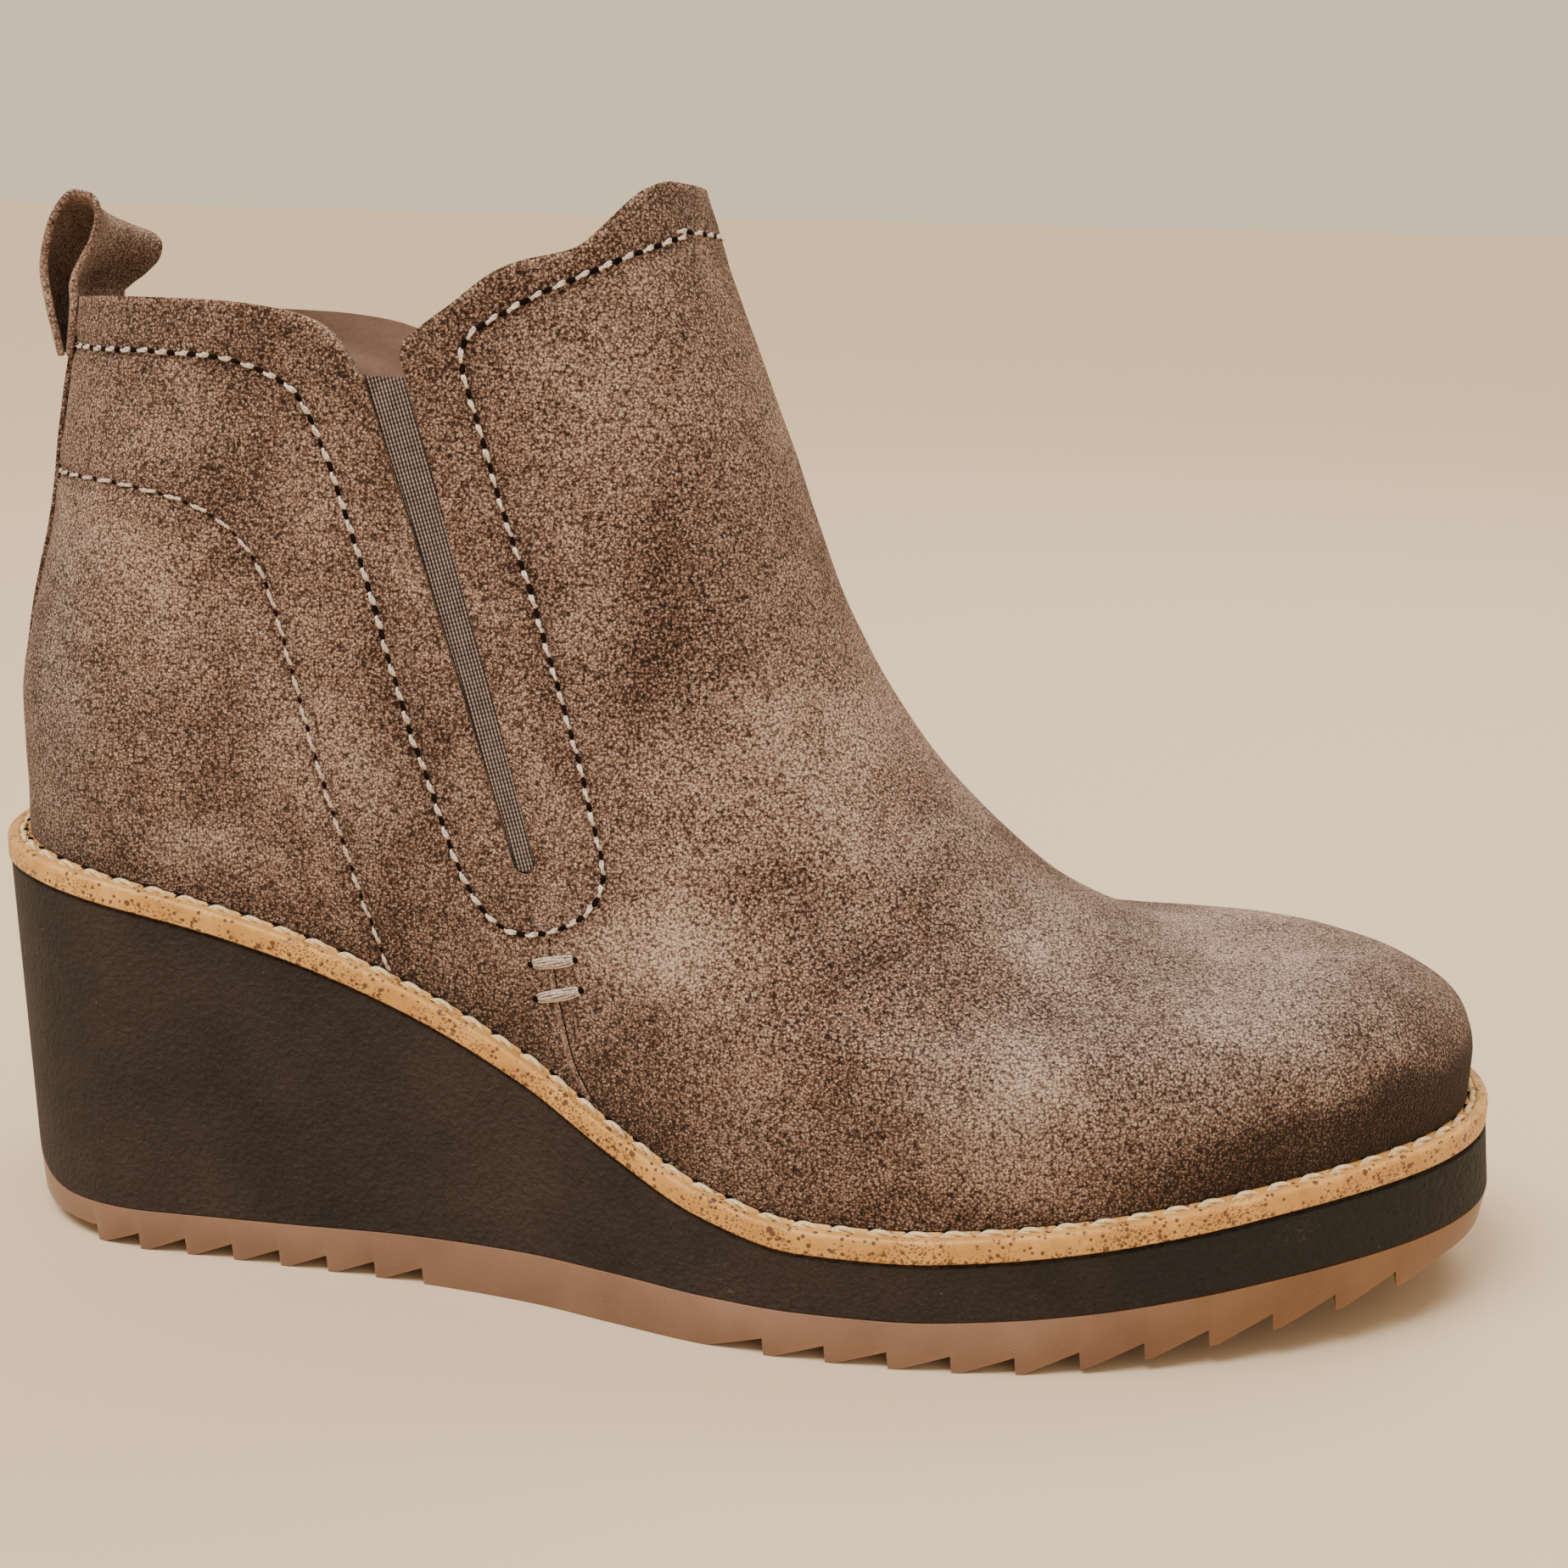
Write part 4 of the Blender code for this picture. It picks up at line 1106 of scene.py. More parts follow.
def crease_depth(x, z):
    depth = 0.0
    for crease in CREASES:
        start = Vector((crease.x0, crease.z0)) / 1000
        run = Vector((crease.x1, crease.z1)) / 1000 - start
        offset = Vector((x, z)) - start
        t = offset.dot(run) / run.length_squared
        bend = 0.0016 * math.sin(math.pi * min(max(t, 0.0), 1.0))
        across = abs(offset.cross(run)) / run.length - bend
        fade = math.exp(-((2.1 * (t - 0.5)) ** 4))
        wide = crease.wide / 1000
        dip = math.exp(-((across / wide) ** 2)) - 0.6 * math.exp(
            -(((across - 1.7 * wide) / (1.2 * wide)) ** 2)
        )
        depth += crease.deep / 1000 * fade * dip
    return depth


def seam_tree(lines):
    points = [p for line in lines for p in line]
    tree = kdtree.KDTree(len(points))
    for i, p in enumerate(points):
        tree.insert((p.x, p.z, 0.0), i)
    tree.balance()
    return tree


def upper_sheet(name, seams):
    """The upper's outer face, with its creases, its soft unevenness and dips along the seams."""
    levels = (len(RINGS) - 1) * RING_FINE
    shares = [(1 - math.cos(math.pi * i / ROUND_FINE)) / 2 for i in range(ROUND_FINE + 1)]
    places = [(s, OUTER) for s in shares] + [(s, INNER) for s in shares[-2:0:-1]]
    bm = bmesh.new()
    rows = [
        [bm.verts.new(ring_point(k / RING_FINE, s, side)) for s, side in places]
        for k in range(levels + 1)
    ]
    for low, high in zip(rows, rows[1:]):
        for i in range(len(low)):
            j = (i + 1) % len(low)
            bm.faces.new((low[i], low[j], high[j], high[i]))
    bm.normal_update()
    if sum(f.normal.y * f.calc_center_median().y for f in bm.faces) < 0:
        bmesh.ops.reverse_faces(bm, faces=bm.faces)
        bm.normal_update()
    moves = []
    for vert in bm.verts:
        x, y, z = vert.co
        up = min(max((z - upper_base(x)) / 0.012, 0.0), 1.0)
        flat = side_point(x, z, y)
        to_seam = seams.find((flat.x, flat.y, 0.0))[2]
        sink = SEAM_SINK * math.exp(-((to_seam / SEAM_HALF) ** 2))
        sink -= PUFF_RISE * math.exp(-(((to_seam - PUFF_AT) / PUFF_HALF) ** 2))
        sink += crease_depth(x, flat.y) * min(abs(y) / 0.012, 1.0)
        sink += 0.00035 * noise.noise(vert.co * 42.0) + 0.00012 * noise.noise(vert.co * 130.0)
        moves.append(vert.normal * (sink * up))
    for vert, move in zip(bm.verts, moves):
        vert.co -= move
    mesh = bpy.data.meshes.new(name)
    bm.to_mesh(mesh)
    bm.free()
    return mesh


def cutter(name, mesh):
    obj = link(name, mesh)
    obj.hide_render = True
    return obj


def cut(obj, tool):
    modifier = obj.modifiers.new(tool.name, "BOOLEAN")
    modifier.operation = "DIFFERENCE"
    modifier.object = tool
    modifier.solver = "EXACT"


def collar_tool():
    count = 260
    start, stop = -0.02, 0.17
    edge_line = [
        (start + (stop - start) * i / count, collar_height(start + (stop - start) * i / count))
        for i in range(count + 1)
    ]
    ceiling = COLLAR_FRONT + CLEAR
    profile = edge_line + [(stop, ceiling), (start, ceiling)]
    return cutter("collar_tool", prism_mesh("collar_tool", profile, -CLEAR, CLEAR, COLLAR_SLANT))


def collar_height(x):
    at = x / LENGTH
    return (
        COLLAR_BACK * read_table(COLLAR, "back", at, "along")
        + COLLAR_DIP * read_table(COLLAR, "dip", at, "along")
        + COLLAR_FRONT * read_table(COLLAR, "tab", at, "along")
    )


def gore_tool():
    """The slots of both gores, round at the foot."""
    foot, head = Vector((GORE_FOOT_AT, GORE_FOOT)), Vector((GORE_TOP_AT, COLLAR_DIP))
    run = (head - foot).normalized()
    across = Vector((-run.y, run.x))
    centre = foot + run * (GORE_FOOT_WIDTH / 2)
    arc = [
        centre + (across * math.cos(a) - run * math.sin(a)) * GORE_FOOT_WIDTH / 2
        for a in (math.pi * i / 14 for i in range(15))
    ]
    top = COLLAR_FRONT

    def end(start, stop):
        return start + (stop - start) * ((top - start.y) / (stop.y - start.y))

    left = end(arc[0], head + across * GORE_TOP_WIDTH / 2)
    right = end(arc[-1], head - across * GORE_TOP_WIDTH / 2)
    profile = [left] + arc + [right]
    return cutter("gore_tool", prism_mesh("gore_tool", profile, -CLEAR, CLEAR, COLLAR_SLANT))


def smooth(value, low, high):
    """0 below low, 1 above high, smooth between."""
    t = min(max((value - low) / (high - low), 0.0), 1.0)
    return t * t * (3 - 2 * t)


def paint_suede(obj, seams):
    """Stores each point's tone and greyness: patches, painted shade on the toe's lower rim, above the
    welt and along the seams, edges, and a painted grey sheen on the back.
    """
    mesh = obj.data
    tones = mesh.attributes.new("tone", "FLOAT", "POINT")
    greys = mesh.attributes.new("grey", "FLOAT", "POINT")
    for vert, tone_at, grey_at in zip(mesh.vertices, tones.data, greys.data):
        x, y, z = vert.co - BOOT_PLACE
        along, up = x * 1000, z * 1000
        sway = noise.noise(vert.co * 60.0)
        rise = noise.noise(vert.co * 60.0 + Vector((7, 0, 0)))
        tone, grey = SUEDE_TONE, SUEDE_GREY
        for patch in PATCHES:
            away = ((along + sway * 7 - patch.along) / patch.long) ** 2
            away += ((up + rise * 7 - patch.up) / patch.high) ** 2
            tone += patch.tone * PATCH_TONE * math.exp(-away)
            grey += patch.grey * PATCH_GREY * math.exp(-away)

        over_welt = (z - upper_base(x)) * 1000
        # Painted shade: the toe is darker along its lower rim next to the welt, and darker still at its
        # very end.
        rim = smooth(along, 188, 232) * (1 - smooth(over_welt + rise * 3, 7.5, 14.5))
        tone -= (0.40 + 0.12 * smooth(along, 228, 248)) * rim
        tone -= 0.08 * smooth(along, 244, 256) * (1 - smooth(over_welt, 12, 26))
        # Painted shade: a darker band along the whole upper, just above the welt.
        tone -= 0.12 * (1 - smooth(over_welt, 1, 9))
        grey += 0.35 * smooth(along, 150, 230) * (1 - rim)

        flat = side_point(x, z, y)
        below_edge = (collar_height(x) - flat.y) * 1000
        tone -= 0.07 * (1 - smooth(below_edge, 4, 9))
        tone += 0.16 * (1 - smooth(below_edge, 0.3, 1.6))
        to_seam = seams.find((flat.x, flat.y, 0.0))[2]
        # Painted shade: darker in the dip along each seam.
        tone -= 0.16 * math.exp(-((to_seam / SEAM_HALF) ** 2))
        # Painted sheen: the heel's back is made greyer, up to about 128 mm.
        grey += 0.7 * (1 - smooth(along, 16, 30)) * (1 - smooth(up, 100, 128))
        tone_at.value, grey_at.value = tone, min(grey, 1.0)


def make_upper(suede, lining, seams):
    upper = link("suede_upper", upper_sheet("suede_upper", seams), suede, lining)
    thicken(upper, WALL, -1).material_offset = 1
    tools = [collar_tool(), gore_tool()]
    for tool in tools:
        cut(upper, tool)
    shaped(upper, 40.0)
    for tool in tools:
        bpy.data.objects.remove(tool)
    paint_suede(upper, seams)
    return ride(upper, "suede", "upper")


# Stitches

def outer_face(upper):
    """The upper's faces, to lay stitches on."""
    mesh = upper.data
    points = [v.co - BOOT_PLACE for v in mesh.vertices]
    faces = [tuple(p.vertices) for p in mesh.polygons if p.material_index == 0]
    return BVHTree.FromPolygons(points, faces)


def on_side(face, point, side):
    """A side-view point laid on the boot's outer or inner face, with the face's normal."""
    far = side * CLEAR
    start = Vector((point.x, far, point.z - COLLAR_SLANT * far))
    ray = Vector((0.0, -side, COLLAR_SLANT * side)).normalized()
    spot, normal, _, _ = face.ray_cast(start, ray)
    if spot is None or spot.y * side < 0:
        return None
    return spot, normal if normal.dot(ray) < 0 else -normal


def seam_path(name, spots):
    """A line of edges through points, which keeps the face's normal at each."""
    mesh = bpy.data.meshes.new(name)
    mesh.from_pydata([s for s, _ in spots], [(i, i + 1) for i in range(len(spots) - 1)], [])
    facing = mesh.attributes.new("facing", "FLOAT_VECTOR", "POINT")
    for item, (_, normal) in zip(facing.data, spots):
        item.vector = normal
    return link(name, mesh)


def side_path(face, name, rows, side):
    spots = [on_side(face, p, side) for p in side_line(rows, 0.001)]
    return seam_path(name, [s for s in spots if s])


def stitch_row_tree():
    """Lays one stitch after another along a path, each turned to the path and to the face."""
    group = bpy.data.node_groups.new("stitch_row", "GeometryNodeTree")
    for name, kind, value in (
        ("Path", "Geometry", None),
        ("Stitch", "Object", None),
        ("Pitch", "Float", 0.004),
        ("Shift", "Float", 0.0),
        ("Lift", "Float", 0.0),
        ("Uneven", "Float", 0.06),
        ("Seed", "Int", 1),
        ("Thread", "Material", None),
    ):
        socket = group.interface.new_socket(name, in_out="INPUT", socket_type=f"NodeSocket{kind}")
        if value is not None:
            socket.default_value = value
    group.interface.new_socket("Row", in_out="OUTPUT", socket_type="NodeSocketGeometry")

    def add(kind, settings=None, **inputs):
        """A node's outputs, once its settings are made and its inputs set or linked."""
        node = group.nodes.new(kind)
        for setting, value in (settings or {}).items():
            setattr(node, setting, value)
        for name, value in inputs.items():
            socket = find_input(node, name)
            if isinstance(value, bpy.types.NodeSocket):
                group.links.new(value, socket)
            else:
                socket.default_value = value
        return node.outputs

    given = add("NodeGroupInput")
    curve = add("GeometryNodeMeshToCurve", Mesh=given["Path"])["Curve"]
    length = add("GeometryNodeCurveLength", Curve=curve)["Length"]
    stop = add(
        "ShaderNodeMath", {"operation": "SUBTRACT"}, Value=length, Value_001=given["Shift"]
    )[0]
    trimmed = add(
        "GeometryNodeTrimCurve", {"mode": "LENGTH"},
        Curve=curve, Start_001=given["Shift"], End_001=stop,
    )["Curve"]
    even = add(
        "GeometryNodeResampleCurve", {"mode": "LENGTH"}, Curve=trimmed, Length=given["Pitch"]
    )["Curve"]
    facing = add(
        "GeometryNodeInputNamedAttribute", {"data_type": "FLOAT_VECTOR"}, Name="facing"
    )["Attribute"]
    lift = add(
        "ShaderNodeVectorMath", {"operation": "SCALE"}, Vector=facing, Scale=given["Lift"]
    )["Vector"]
    raised = add("GeometryNodeSetPosition", Geometry=even, Offset=lift)["Geometry"]
    tangent = add("GeometryNodeInputTangent")["Tangent"]
    along = add("FunctionNodeAlignRotationToVector", {"axis": "X"}, Vector=tangent)["Rotation"]
    upright = add(
        "FunctionNodeAlignRotationToVector", {"axis": "Z", "pivot_axis": "X"},
        Rotation=along, Vector=facing,
    )["Rotation"]
    stitch = add(
        "GeometryNodeObjectInfo", Object=given["Stitch"], **{"As Instance": True}
    )["Geometry"]
    less, more = (
        add("ShaderNodeMath", {"operation": way}, Value=1.0, Value_001=given["Uneven"])[0]
        for way in ("SUBTRACT", "ADD")
    )
    size = add(
        "FunctionNodeRandomValue", {"data_type": "FLOAT_VECTOR"},
        Min=less, Max=more, Seed=given["Seed"],
    )[0]
    laid = add(
        "GeometryNodeInstanceOnPoints",
        Points=raised, Instance=stitch, Rotation=upright, Scale=size,
    )["Instances"]
    real = add("GeometryNodeRealizeInstances", Geometry=laid)["Geometry"]
    dyed = add("GeometryNodeSetMaterial", Geometry=real, Material=given["Thread"])["Geometry"]
    add("NodeGroupOutput", Row=dyed)
    return group


def lay_row(tree, path, **values):
    """Runs the stitch row on a path and keeps the plain mesh that it makes."""
    modifier = path.modifiers.new("Row", "NODES")
    modifier.node_group = tree
    for item in tree.interface.items_tree:
        if item.in_out == "INPUT" and item.name in values:
            modifier[item.identifier] = values[item.name]
    return shaped(path, 60.0)


def join(name, objects):
    """One object out of several that share a finish."""
    mesh = bpy.data.meshes.new(name)
    bm = bmesh.new()
    for obj in objects:
        bm.from_mesh(obj.data)
    bm.to_mesh(mesh)
    bm.free()
    materials = [m for m in objects[0].data.materials if m]
    joined = link(name, mesh, *materials)
    for obj in objects:
        bpy.data.objects.remove(obj)
    return joined


def skin_tube(faces, first, rings, sides, pointed=False):
    """Adds the faces of a closed tube whose rings of points begin at first.

    A pointed one ends in a single point that follows its last ring.
    """
    for k in range(rings - 1):
        a, b = first + k * sides, first + (k + 1) * sides
        for i in range(sides):
            j = (i + 1) % sides
            faces.append((a + i, a + j, b + j, b + i))
    last = first + (rings - 1) * sides
    faces.append(tuple(range(first + sides - 1, first - 1, -1)))
    if pointed:
        faces += [(last + i, last + (i + 1) % sides, last + sides) for i in range(sides)]
    else:
        faces.append(tuple(range(last, last + sides)))


def twisted_stitch(name, length, thick, turns, tilt, rings=7, sides=5):
    """Two strands twisted round each other, dipping in at both ends."""
    points, faces = [], []
    for strand in range(2):
        first = len(points)
        for k in range(rings):
            t = k / (rings - 1)
            swing = math.pi * (strand + 2 * turns * t)
            shrink = (1 - abs(2 * t - 1) ** 2.6) ** 0.5 * 0.8 + 0.2
            arch = -thick * 1.0 * abs(2 * t - 1) ** 3
            centre = Vector(
                (
                    length * (t - 0.5),
                    thick * 0.24 * math.cos(swing) * shrink,
                    thick * 0.20 * math.sin(swing) * shrink + arch,
                )
            )
            for i in range(sides):
                a = 2 * math.pi * i / sides
                radius = thick * 0.30 * shrink
                points.append(centre + Vector((0.0, math.cos(a) * radius, math.sin(a) * radius)))
        skin_tube(faces, first, rings, sides)
    mesh = merged_mesh(name, [Matrix.Rotation(tilt, 3, "Z") @ p for p in points], faces)
    mesh.shade_smooth()
    return cutter(name, mesh)


def needle_hole(name, length, width, deep=0.00022):
    """A low lens for the hole that a stitch goes into; it is given the near-black hole material, as
    painted shade.
    """
    points, faces = [], []
    rings, sides = 3, 8
    for k in range(rings):
        rise = k / rings * math.pi / 2
        for i in range(sides):
            a = 2 * math.pi * i / sides
            x = length / 2 * math.cos(rise) * math.cos(a)
            y = width / 2 * math.cos(rise) * math.sin(a)
            points.append(Vector((x, y, deep * math.sin(rise))))
    points.append(Vector((0.0, 0.0, deep)))
    skin_tube(faces, 0, rings, sides, pointed=True)
    return cutter(name, merged_mesh(name, points, faces))


def collar_front_path(face):
    """The quarter's seam where it goes round the front tab."""
    spots = []
    for i in range(25):
        y = -0.0125 + 0.025 * i / 24
        start = Vector((0.16, y, COLLAR_SEAM_FRONT / 1000 - COLLAR_SLANT * y))
        spot, normal, _, _ = face.ray_cast(start, Vector((-1.0, 0.0, 0.0)))
        if spot:
            spots.append((spot, normal if normal.x > 0 else -normal))
    return seam_path("front_path", spots)


def make_stitches(face, thread, pale, cream, dark):
    """All stitch rows, each with dark lenses between its stitches, painted shade in the needle holes.
    """
    tree = stitch_row_tree()
    quarter = twisted_stitch("quarter_stitch", 0.0030, 0.00084, 0.75, 0.16)
    counter = twisted_stitch("counter_stitch", 0.0039, 0.00068, 1.25, 0.10)
    welt_stitch = twisted_stitch("welt_stitch", 0.0060, 0.00150, 0.5, 0.06, rings=11, sides=7)
    long_hole = needle_hole("long_hole", 0.0018, 0.00095)
    round_hole = needle_hole("round_hole", 0.0011, 0.0007)

    for name, seam, stitch, hole, pitch, dye in (
        ("quarter", QUARTER_SEAM, quarter, long_hole, QUARTER_PITCH, thread),
        ("counter", COUNTER_SEAM, counter, round_hole, COUNTER_PITCH, pale),
    ):
        rows, holes = [], []

        def lay_pair(path, gaps, **values):
            rows.append(
                lay_row(tree, path, Stitch=stitch, Pitch=pitch, Lift=STITCH_LIFT, Thread=dye)
            )
            holes.append(
                lay_row(
                    tree, gaps, Stitch=hole, Pitch=pitch, Shift=pitch / 2, Lift=HOLE_LIFT,
                    Thread=dark, **values,
                )
            )

        for side in (OUTER, INNER):
            path, gaps = (side_path(face, name, seam, side) for _ in range(2))
            lay_pair(path, gaps, Uneven=HOLE_UNEVEN)
        if name == "quarter":
            lay_pair(collar_front_path(face), collar_front_path(face))
        ride(join(f"{name}_stitches", rows))
        ride(join(f"{name}_needle_holes", holes), "suede")

    def welt_row(name, inset, **values):
        lane = closed_loop(fine_stations(), inset, lambda x: welt_top(x) - LANE_DEEP)
        ring = [(Vector(p), Vector((0.0, 0.0, 1.0))) for p in lane + lane[:1]]
        return lay_row(tree, seam_path(name, ring), Pitch=WELT_PITCH, **values)

    ride(
        welt_row(
            "welt_stitches", STITCH_LANE,
            Stitch=welt_stitch, Lift=WELT_STITCH_LIFT, Uneven=0.03, Thread=cream,
        )
    )
    punched = welt_row(
        "welt_holes", HOLE_LANE,
        Stitch=long_hole, Shift=WELT_PITCH / 2, Lift=WELT_HOLE_LIFT, Thread=dark,
    )
    ride(punched, "suede")
    for tool in (quarter, counter, welt_stitch, long_hole, round_hole):
        bpy.data.objects.remove(tool)


def tube(points, faces, line, radii, normals, sides=6):
    """Adds a round strand along a line."""
    first = len(points)
    for k, centre in enumerate(line):
        run = (line[min(k + 1, len(line) - 1)] - line[max(k - 1, 0)]).normalized()
        up = (normals[k] - run * normals[k].dot(run)).normalized()
        across = run.cross(up)
        for i in range(sides):
            a = 2 * math.pi * i / sides
            points.append(centre + (across * math.cos(a) + up * math.sin(a)) * radii[k])
    skin_tube(faces, first, len(line), sides)


def make_bar_tacks(face, pale, dark):
    """Two bars of many strands below each gore, with a dark lens at either end, painted shade in its
    hole.
    """
    points, faces, holes = [], [], []
    for side in (OUTER, INNER):
        for start, stop in BAR_TACKS:
            a, b = Vector((start[0], 0, start[1])) / 1000, Vector((stop[0], 0, stop[1])) / 1000
            across = Vector((-(b - a).z, 0.0, (b - a).x)).normalized()
            for strand in range(TACK_STRANDS):
                offset = (strand / (TACK_STRANDS - 1) - 0.5) * 2
                line, normals, radii = [], [], []
                for k in range(13):
                    t = k / 12
                    spread = TACK_HALF * (0.50 + 0.50 * math.sin(math.pi * t) ** 0.6)
                    sway = 0.00008 * math.sin(7 * t + strand * 2.1 + side)
                    place = a.lerp(b, t) + across * (offset * spread + sway)
                    spot, normal = on_side(face, place, side)
                    crown = math.sin(math.pi * t) ** 0.35 * (1 - 0.35 * offset * offset)
                    line.append(spot + normal * (TACK_CROWN * crown - TACK_SUNK))
                    normals.append(normal)
                    radii.append(TACK_STRAND * (0.6 + 0.4 * math.sin(math.pi * t)))
                tube(points, faces, line, radii, normals)
            past_end = (b - a).normalized() * TACK_HOLE_OUT
            holes += [on_side(face, a - past_end, side), on_side(face, b + past_end, side)]
    ride_mesh("bar_tacks", points, faces, pale, sharp=60.0)
    points, faces = [], []
    for spot, normal in holes:
        lens_on(points, faces, spot, normal, TACK_HOLE, TACK_HOLE_RISE)
    ride_mesh("bar_tack_holes", points, faces, dark, "suede")


def lens_on(points, faces, spot, normal, radius, high):
    """Adds a low round lens on a face."""
    side = normal.orthogonal().normalized()
    other = normal.cross(side)
    first = len(points)
    sides = 10
    for ring, rise in ((1.0, 0.0), (0.7, 0.75)):
        for i in range(sides):
            a = 2 * math.pi * i / sides
            points.append(
                spot + (side * math.cos(a) + other * math.sin(a)) * radius * ring + normal * high * rise
            )
    points.append(spot + normal * high)
    skin_tube(faces, first, 2, sides, pointed=True)


def make_vamp_seam(face, suede, dark):
    """The butted edge between vamp and quarter: a thin dark tube in the gap, painted shade, with the
    quarter's raised lip.
    """
    lip_side = Vector((0.0007, 0.0, 0.0))  # from the gap back to the middle of the lip
    for name, material, shift, sink, radius, sides in (
        ("vamp_seam_gap", dark, Vector(), 0.00008, 0.00017, 5),
        ("vamp_seam_lip", suede, lip_side, 0.00042, 0.00065, 10),
    ):
        points, faces = [], []
        for side in (OUTER, INNER):
            line = side_line(VAMP_SEAM, 0.0007)
            spots = [s for s in (on_side(face, p - shift, side) for p in line) if s]
            tube(
                points, faces, [s - n * sink for s, n in spots],
                [radius] * len(spots), [n for _, n in spots], sides=sides,
            )
        ride_mesh(name, points, faces, material, "suede")


# Pull loop and back strap

def back_face(z, y):
    """x of the upper's back face at a height and a distance from the middle."""
    low, high = 0.0, float(len(RINGS) - 1)
    for _ in range(30):
        level = (low + high) / 2
        if ring_point(level, 0.0, OUTER).z < z:
            low = level
        else:
            high = level
    x = ring_value("back", low) * LENGTH
    side = "outer" if y < 0 else "inner"
    width = (BALL_HALF * sole(side, x) - WELT_SHOW) * ring_value(side, low)
    sag = 1 - (1 - abs(y / width) ** HEEL_FULLNESS) ** (1 / HEEL_FULLNESS)
    return x + HEEL_CUP * ring_value("cup", low) * sag


def rounded_strip(name, rows, thickness, material, edge_round):
    strip = link(name, sheet_mesh(name, rows), material)
    thicken(strip, thickness, 0)
    round_edges(strip, edge_round, 60)
    return shaped(strip, 60.0)


def make_pull_loop(material):
    steps, half = 9, 12
    keys = list(range(len(FOLD)))
    levels = [i / steps for i in range((len(FOLD) - 1) * steps + 1)]
    rows = []
    for step in range(-half, half + 1):
        across = step / half
        y = across * LOOP_WIDTH / 2
        row = []
        for level in levels:
            forward = read_curve(keys, [f.forward for f in FOLD], level)
            up = read_curve(keys, [f.up for f in FOLD], level)
            skew = read_curve(keys, [f.skew for f in FOLD], level)
            z = LOOP_SEAM + LOOP_RISE * (up - FOLD_DROP * across * up**2)
            face = back_face(min(z, COLLAR_BACK), y) - BACK_FIT - LOOP_THICK / 2
            offset = LOOP_BULGE * (forward - FOLD[0].forward) + FOLD_SKEW * skew * across
            row.append(Vector((face + offset, y, z)))
        rows.append(row)
    loop = rounded_strip("suede_pull_loop", rows, LOOP_THICK, material, 0.00035)
    return ride(loop, "suede", "pull_loop")


def make_back_strap(material):
    rows = []
    count = 44
    for k in range(count + 1):
        z = STRAP_FOOT + (LOOP_SEAM - FIT - STRAP_FOOT) * k / count
        row = []
        for i in range(9):
            y = STRAP_WIDTH * (i / 8 - 0.5)
            row.append(Vector((back_face(z, y) - BACK_FIT - STRAP_THICK / 2, y, z)))
        rows.append(row)
    strap = rounded_strip("suede_back_strap", rows, STRAP_THICK, material, 0.00025)
    return ride(strap, "suede", "back_strap")


# Studio

def make_camera():
    """The photograph's own view, from in front of the boot's outer side and a little above."""
    turn, tilt, roll = 0.1513, 0.2644, 0.0188
    back = Vector(
        (math.sin(turn) * math.cos(tilt), -math.cos(turn) * math.cos(tilt), math.sin(tilt))
    )
    right = Vector((math.cos(turn), math.sin(turn), 0.0))
    up = back.cross(right)
    right, up = (
        right * math.cos(roll) + up * math.sin(roll),
        up * math.cos(roll) - right * math.sin(roll),
    )
    data = bpy.data.cameras.new("camera")
    data.lens = 53.97
    data.sensor_width = 36.0
    data.clip_start = 0.01
    camera = bpy.data.objects.new("camera", data)
    bpy.context.scene.collection.objects.link(camera)
    target = Vector((0.00729, 0.00155, 0.0810))
    place = Matrix((right, up, back)).transposed().to_4x4()
    place.translation = target + back * 0.400
    camera.matrix_world = place
    bpy.context.scene.camera = camera


def light(name, kind, power, colour, place, aim, **shape):
    """A light at a place, turned towards its aim."""
    data = bpy.data.lights.new(name, kind)
    data.energy = power
    data.color = colour
    for setting, value in shape.items():
        setattr(data, setting, value)
    lamp = bpy.data.objects.new(name, data)
    bpy.context.scene.collection.objects.link(lamp)
    lamp.location = place
    lamp.rotation_mode = "QUATERNION"
    lamp.rotation_quaternion = (Vector(aim) - Vector(place)).to_track_quat("-Z", "Y")


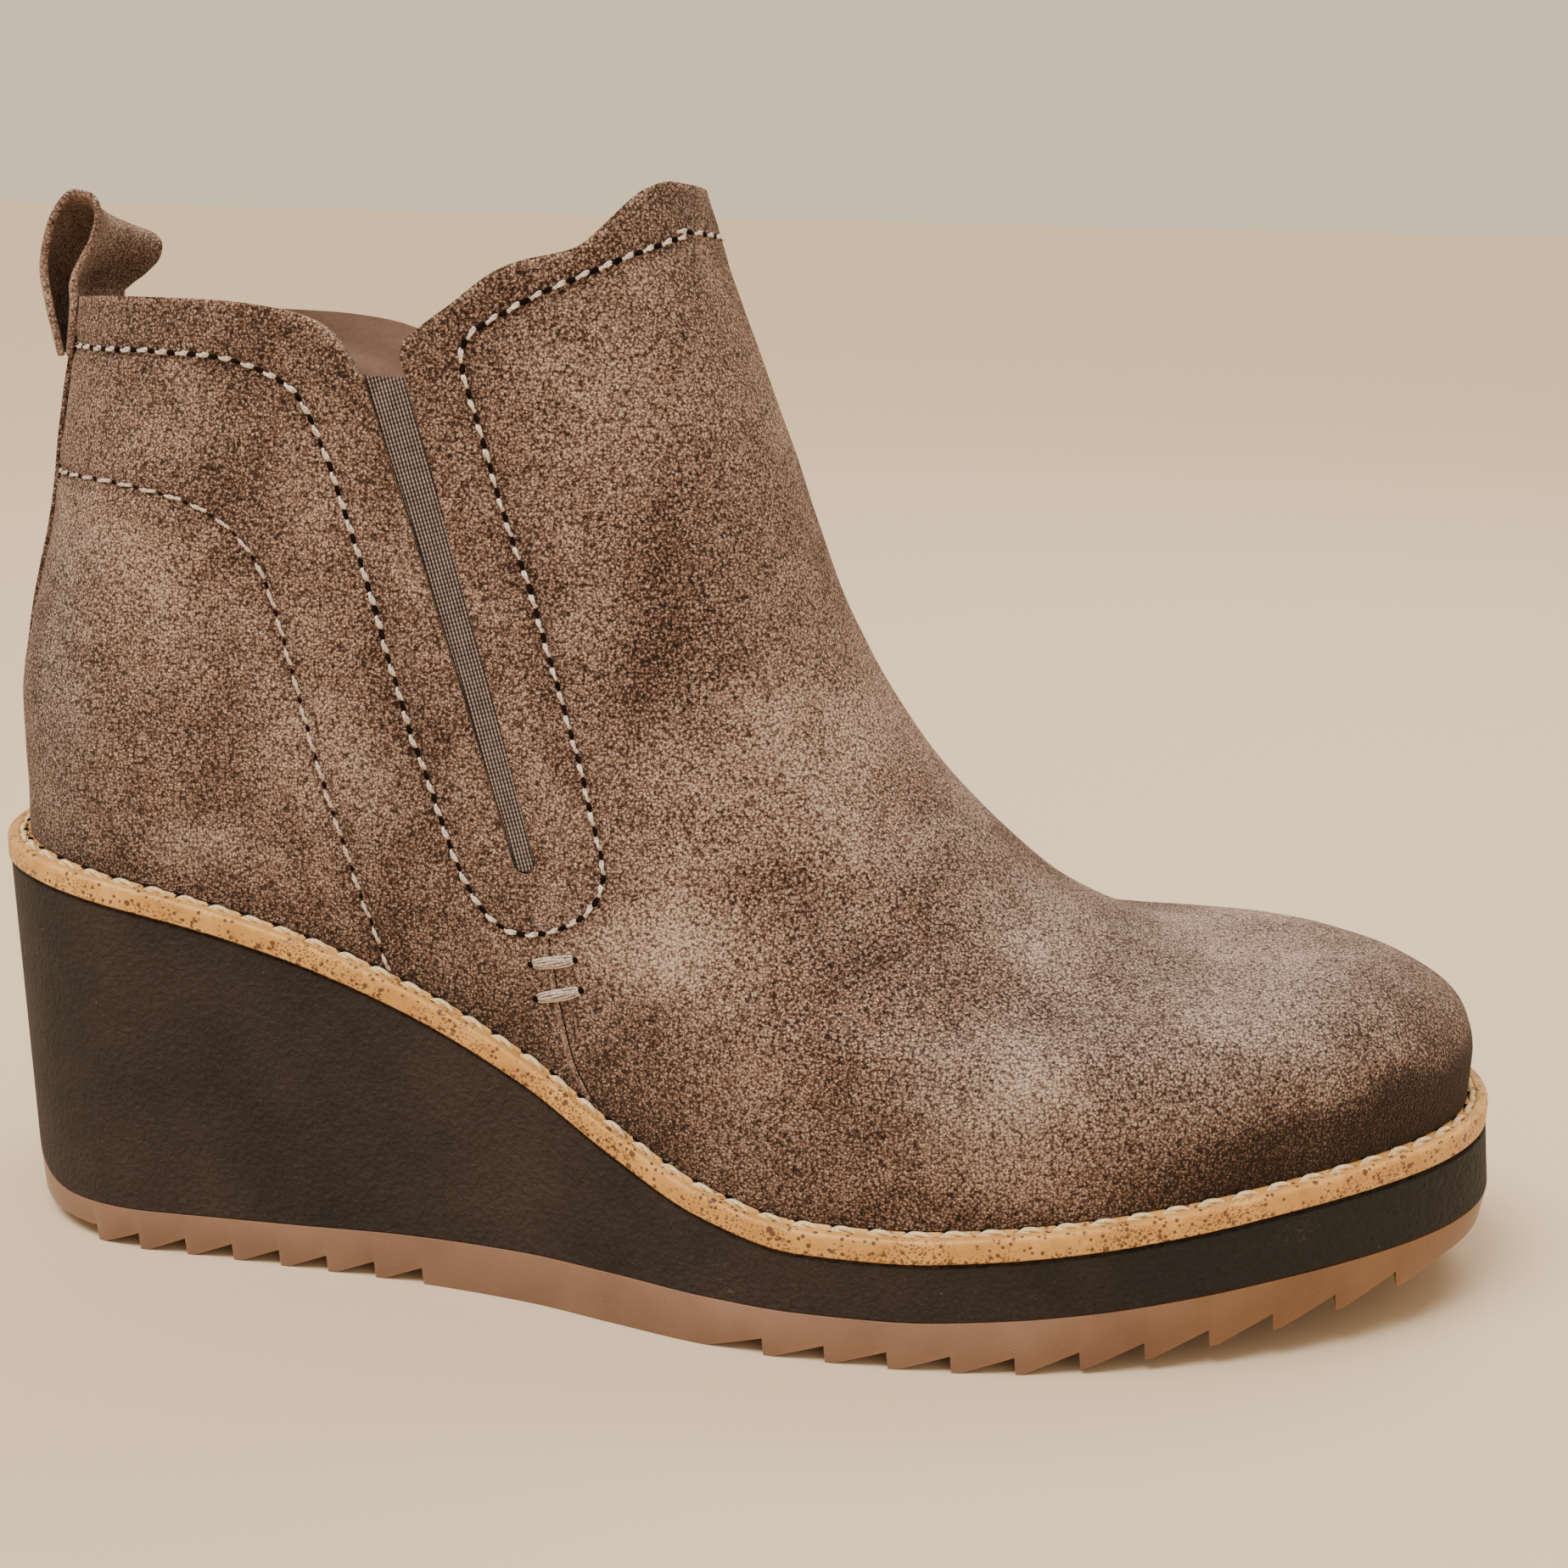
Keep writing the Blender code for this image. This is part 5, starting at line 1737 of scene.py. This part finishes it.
def make_studio():
    mesh = bpy.data.meshes.new("floor")
    corners = [(x * FLOOR_REACH, y * FLOOR_REACH, 0) for x, y in ((-1, -1), (1, -1), (1, 1), (-1, 1))]
    mesh.from_pydata(corners, [], [(0, 1, 2, 3)])
    floor_finish = Finish("pale_floor", Roughness=0.85, Specular_IOR_Level=0.2)
    floor = link("floor", mesh, floor_finish.coat(FLOOR))
    world = bpy.data.worlds.new("sky")
    bpy.context.scene.world = world
    world.use_nodes = True
    sky = world.node_tree.nodes["Background"]
    sky.inputs["Color"].default_value = (*SKY, 1.0)
    sky.inputs["Strength"].default_value = SKY_STRENGTH
    light("high", "SUN", 2.3, DAYLIGHT, (-0.40, -0.30, 1.0), (0.0, 0.0, 0.0), angle=0.5)
    for name, power, colour, place, aim, (wide, high) in (
        ("key", 5.0, (1.0, 0.98, 0.95), (-0.15, -0.40, 1.00), (0.02, 0.0, 0.07), (0.5, 0.4)),
        ("fill", 1.2, DAYLIGHT, (0.75, -0.80, 0.35), (0.02, 0.0, 0.06), (0.8, 0.6)),
        ("rim", 5.0, (0.97, 0.98, 1.0), (0.35, 0.55, 0.95), (0.05, 0.0, 0.06), (0.6, 0.4)),
    ):
        light(name, "AREA", power, colour, place, aim, shape="RECTANGLE", size=wide, size_y=high)


def main():
    make_camera()
    make_studio()
    suede = suede_finish("suede")
    strip_suede = suede_finish("strip_suede", 0.60, patchy=False, contrast=0.65)
    strap_suede = suede_finish("strap_suede", 0.50, patchy=False, contrast=0.95)
    lining = lining_finish()
    # Near-black painted shade for the needle holes, tack holes and the vamp seam's gap.
    dark = hole_shade_finish()
    thread = thread_finish("quarter_thread", (0.28, 0.22, 0.19), (0.80, 0.71, 0.63))
    pale = thread_finish("counter_thread", (0.28, 0.22, 0.18), (0.72, 0.61, 0.51))
    bar = thread_finish("bar_tack_thread", (0.15, 0.12, 0.10), (0.62, 0.53, 0.45))
    cream = thread_finish("welt_thread", (0.44, 0.30, 0.14), (0.82, 0.64, 0.37))

    seams = seam_tree([side_line(QUARTER_SEAM), side_line(COUNTER_SEAM)])
    upper = make_upper(suede, lining, seams)
    face = outer_face(upper)
    make_stitches(face, thread, pale, cream, dark)
    make_bar_tacks(face, bar, dark)
    make_vamp_seam(face, strip_suede, dark)
    make_pull_loop(strip_suede)
    make_back_strap(strap_suede)
    make_welt(crepe_finish())
    make_wedge(foam_finish())
    make_outsole(gum_finish())

    elastic = elastic_finish()
    footbed = footbed_finish()
    for node, finish in (("gore_outer", elastic), ("gore_inner", elastic), ("insole", footbed)):
        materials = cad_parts[node].data.materials
        for i in range(len(materials)):
            materials[i] = finish


main()
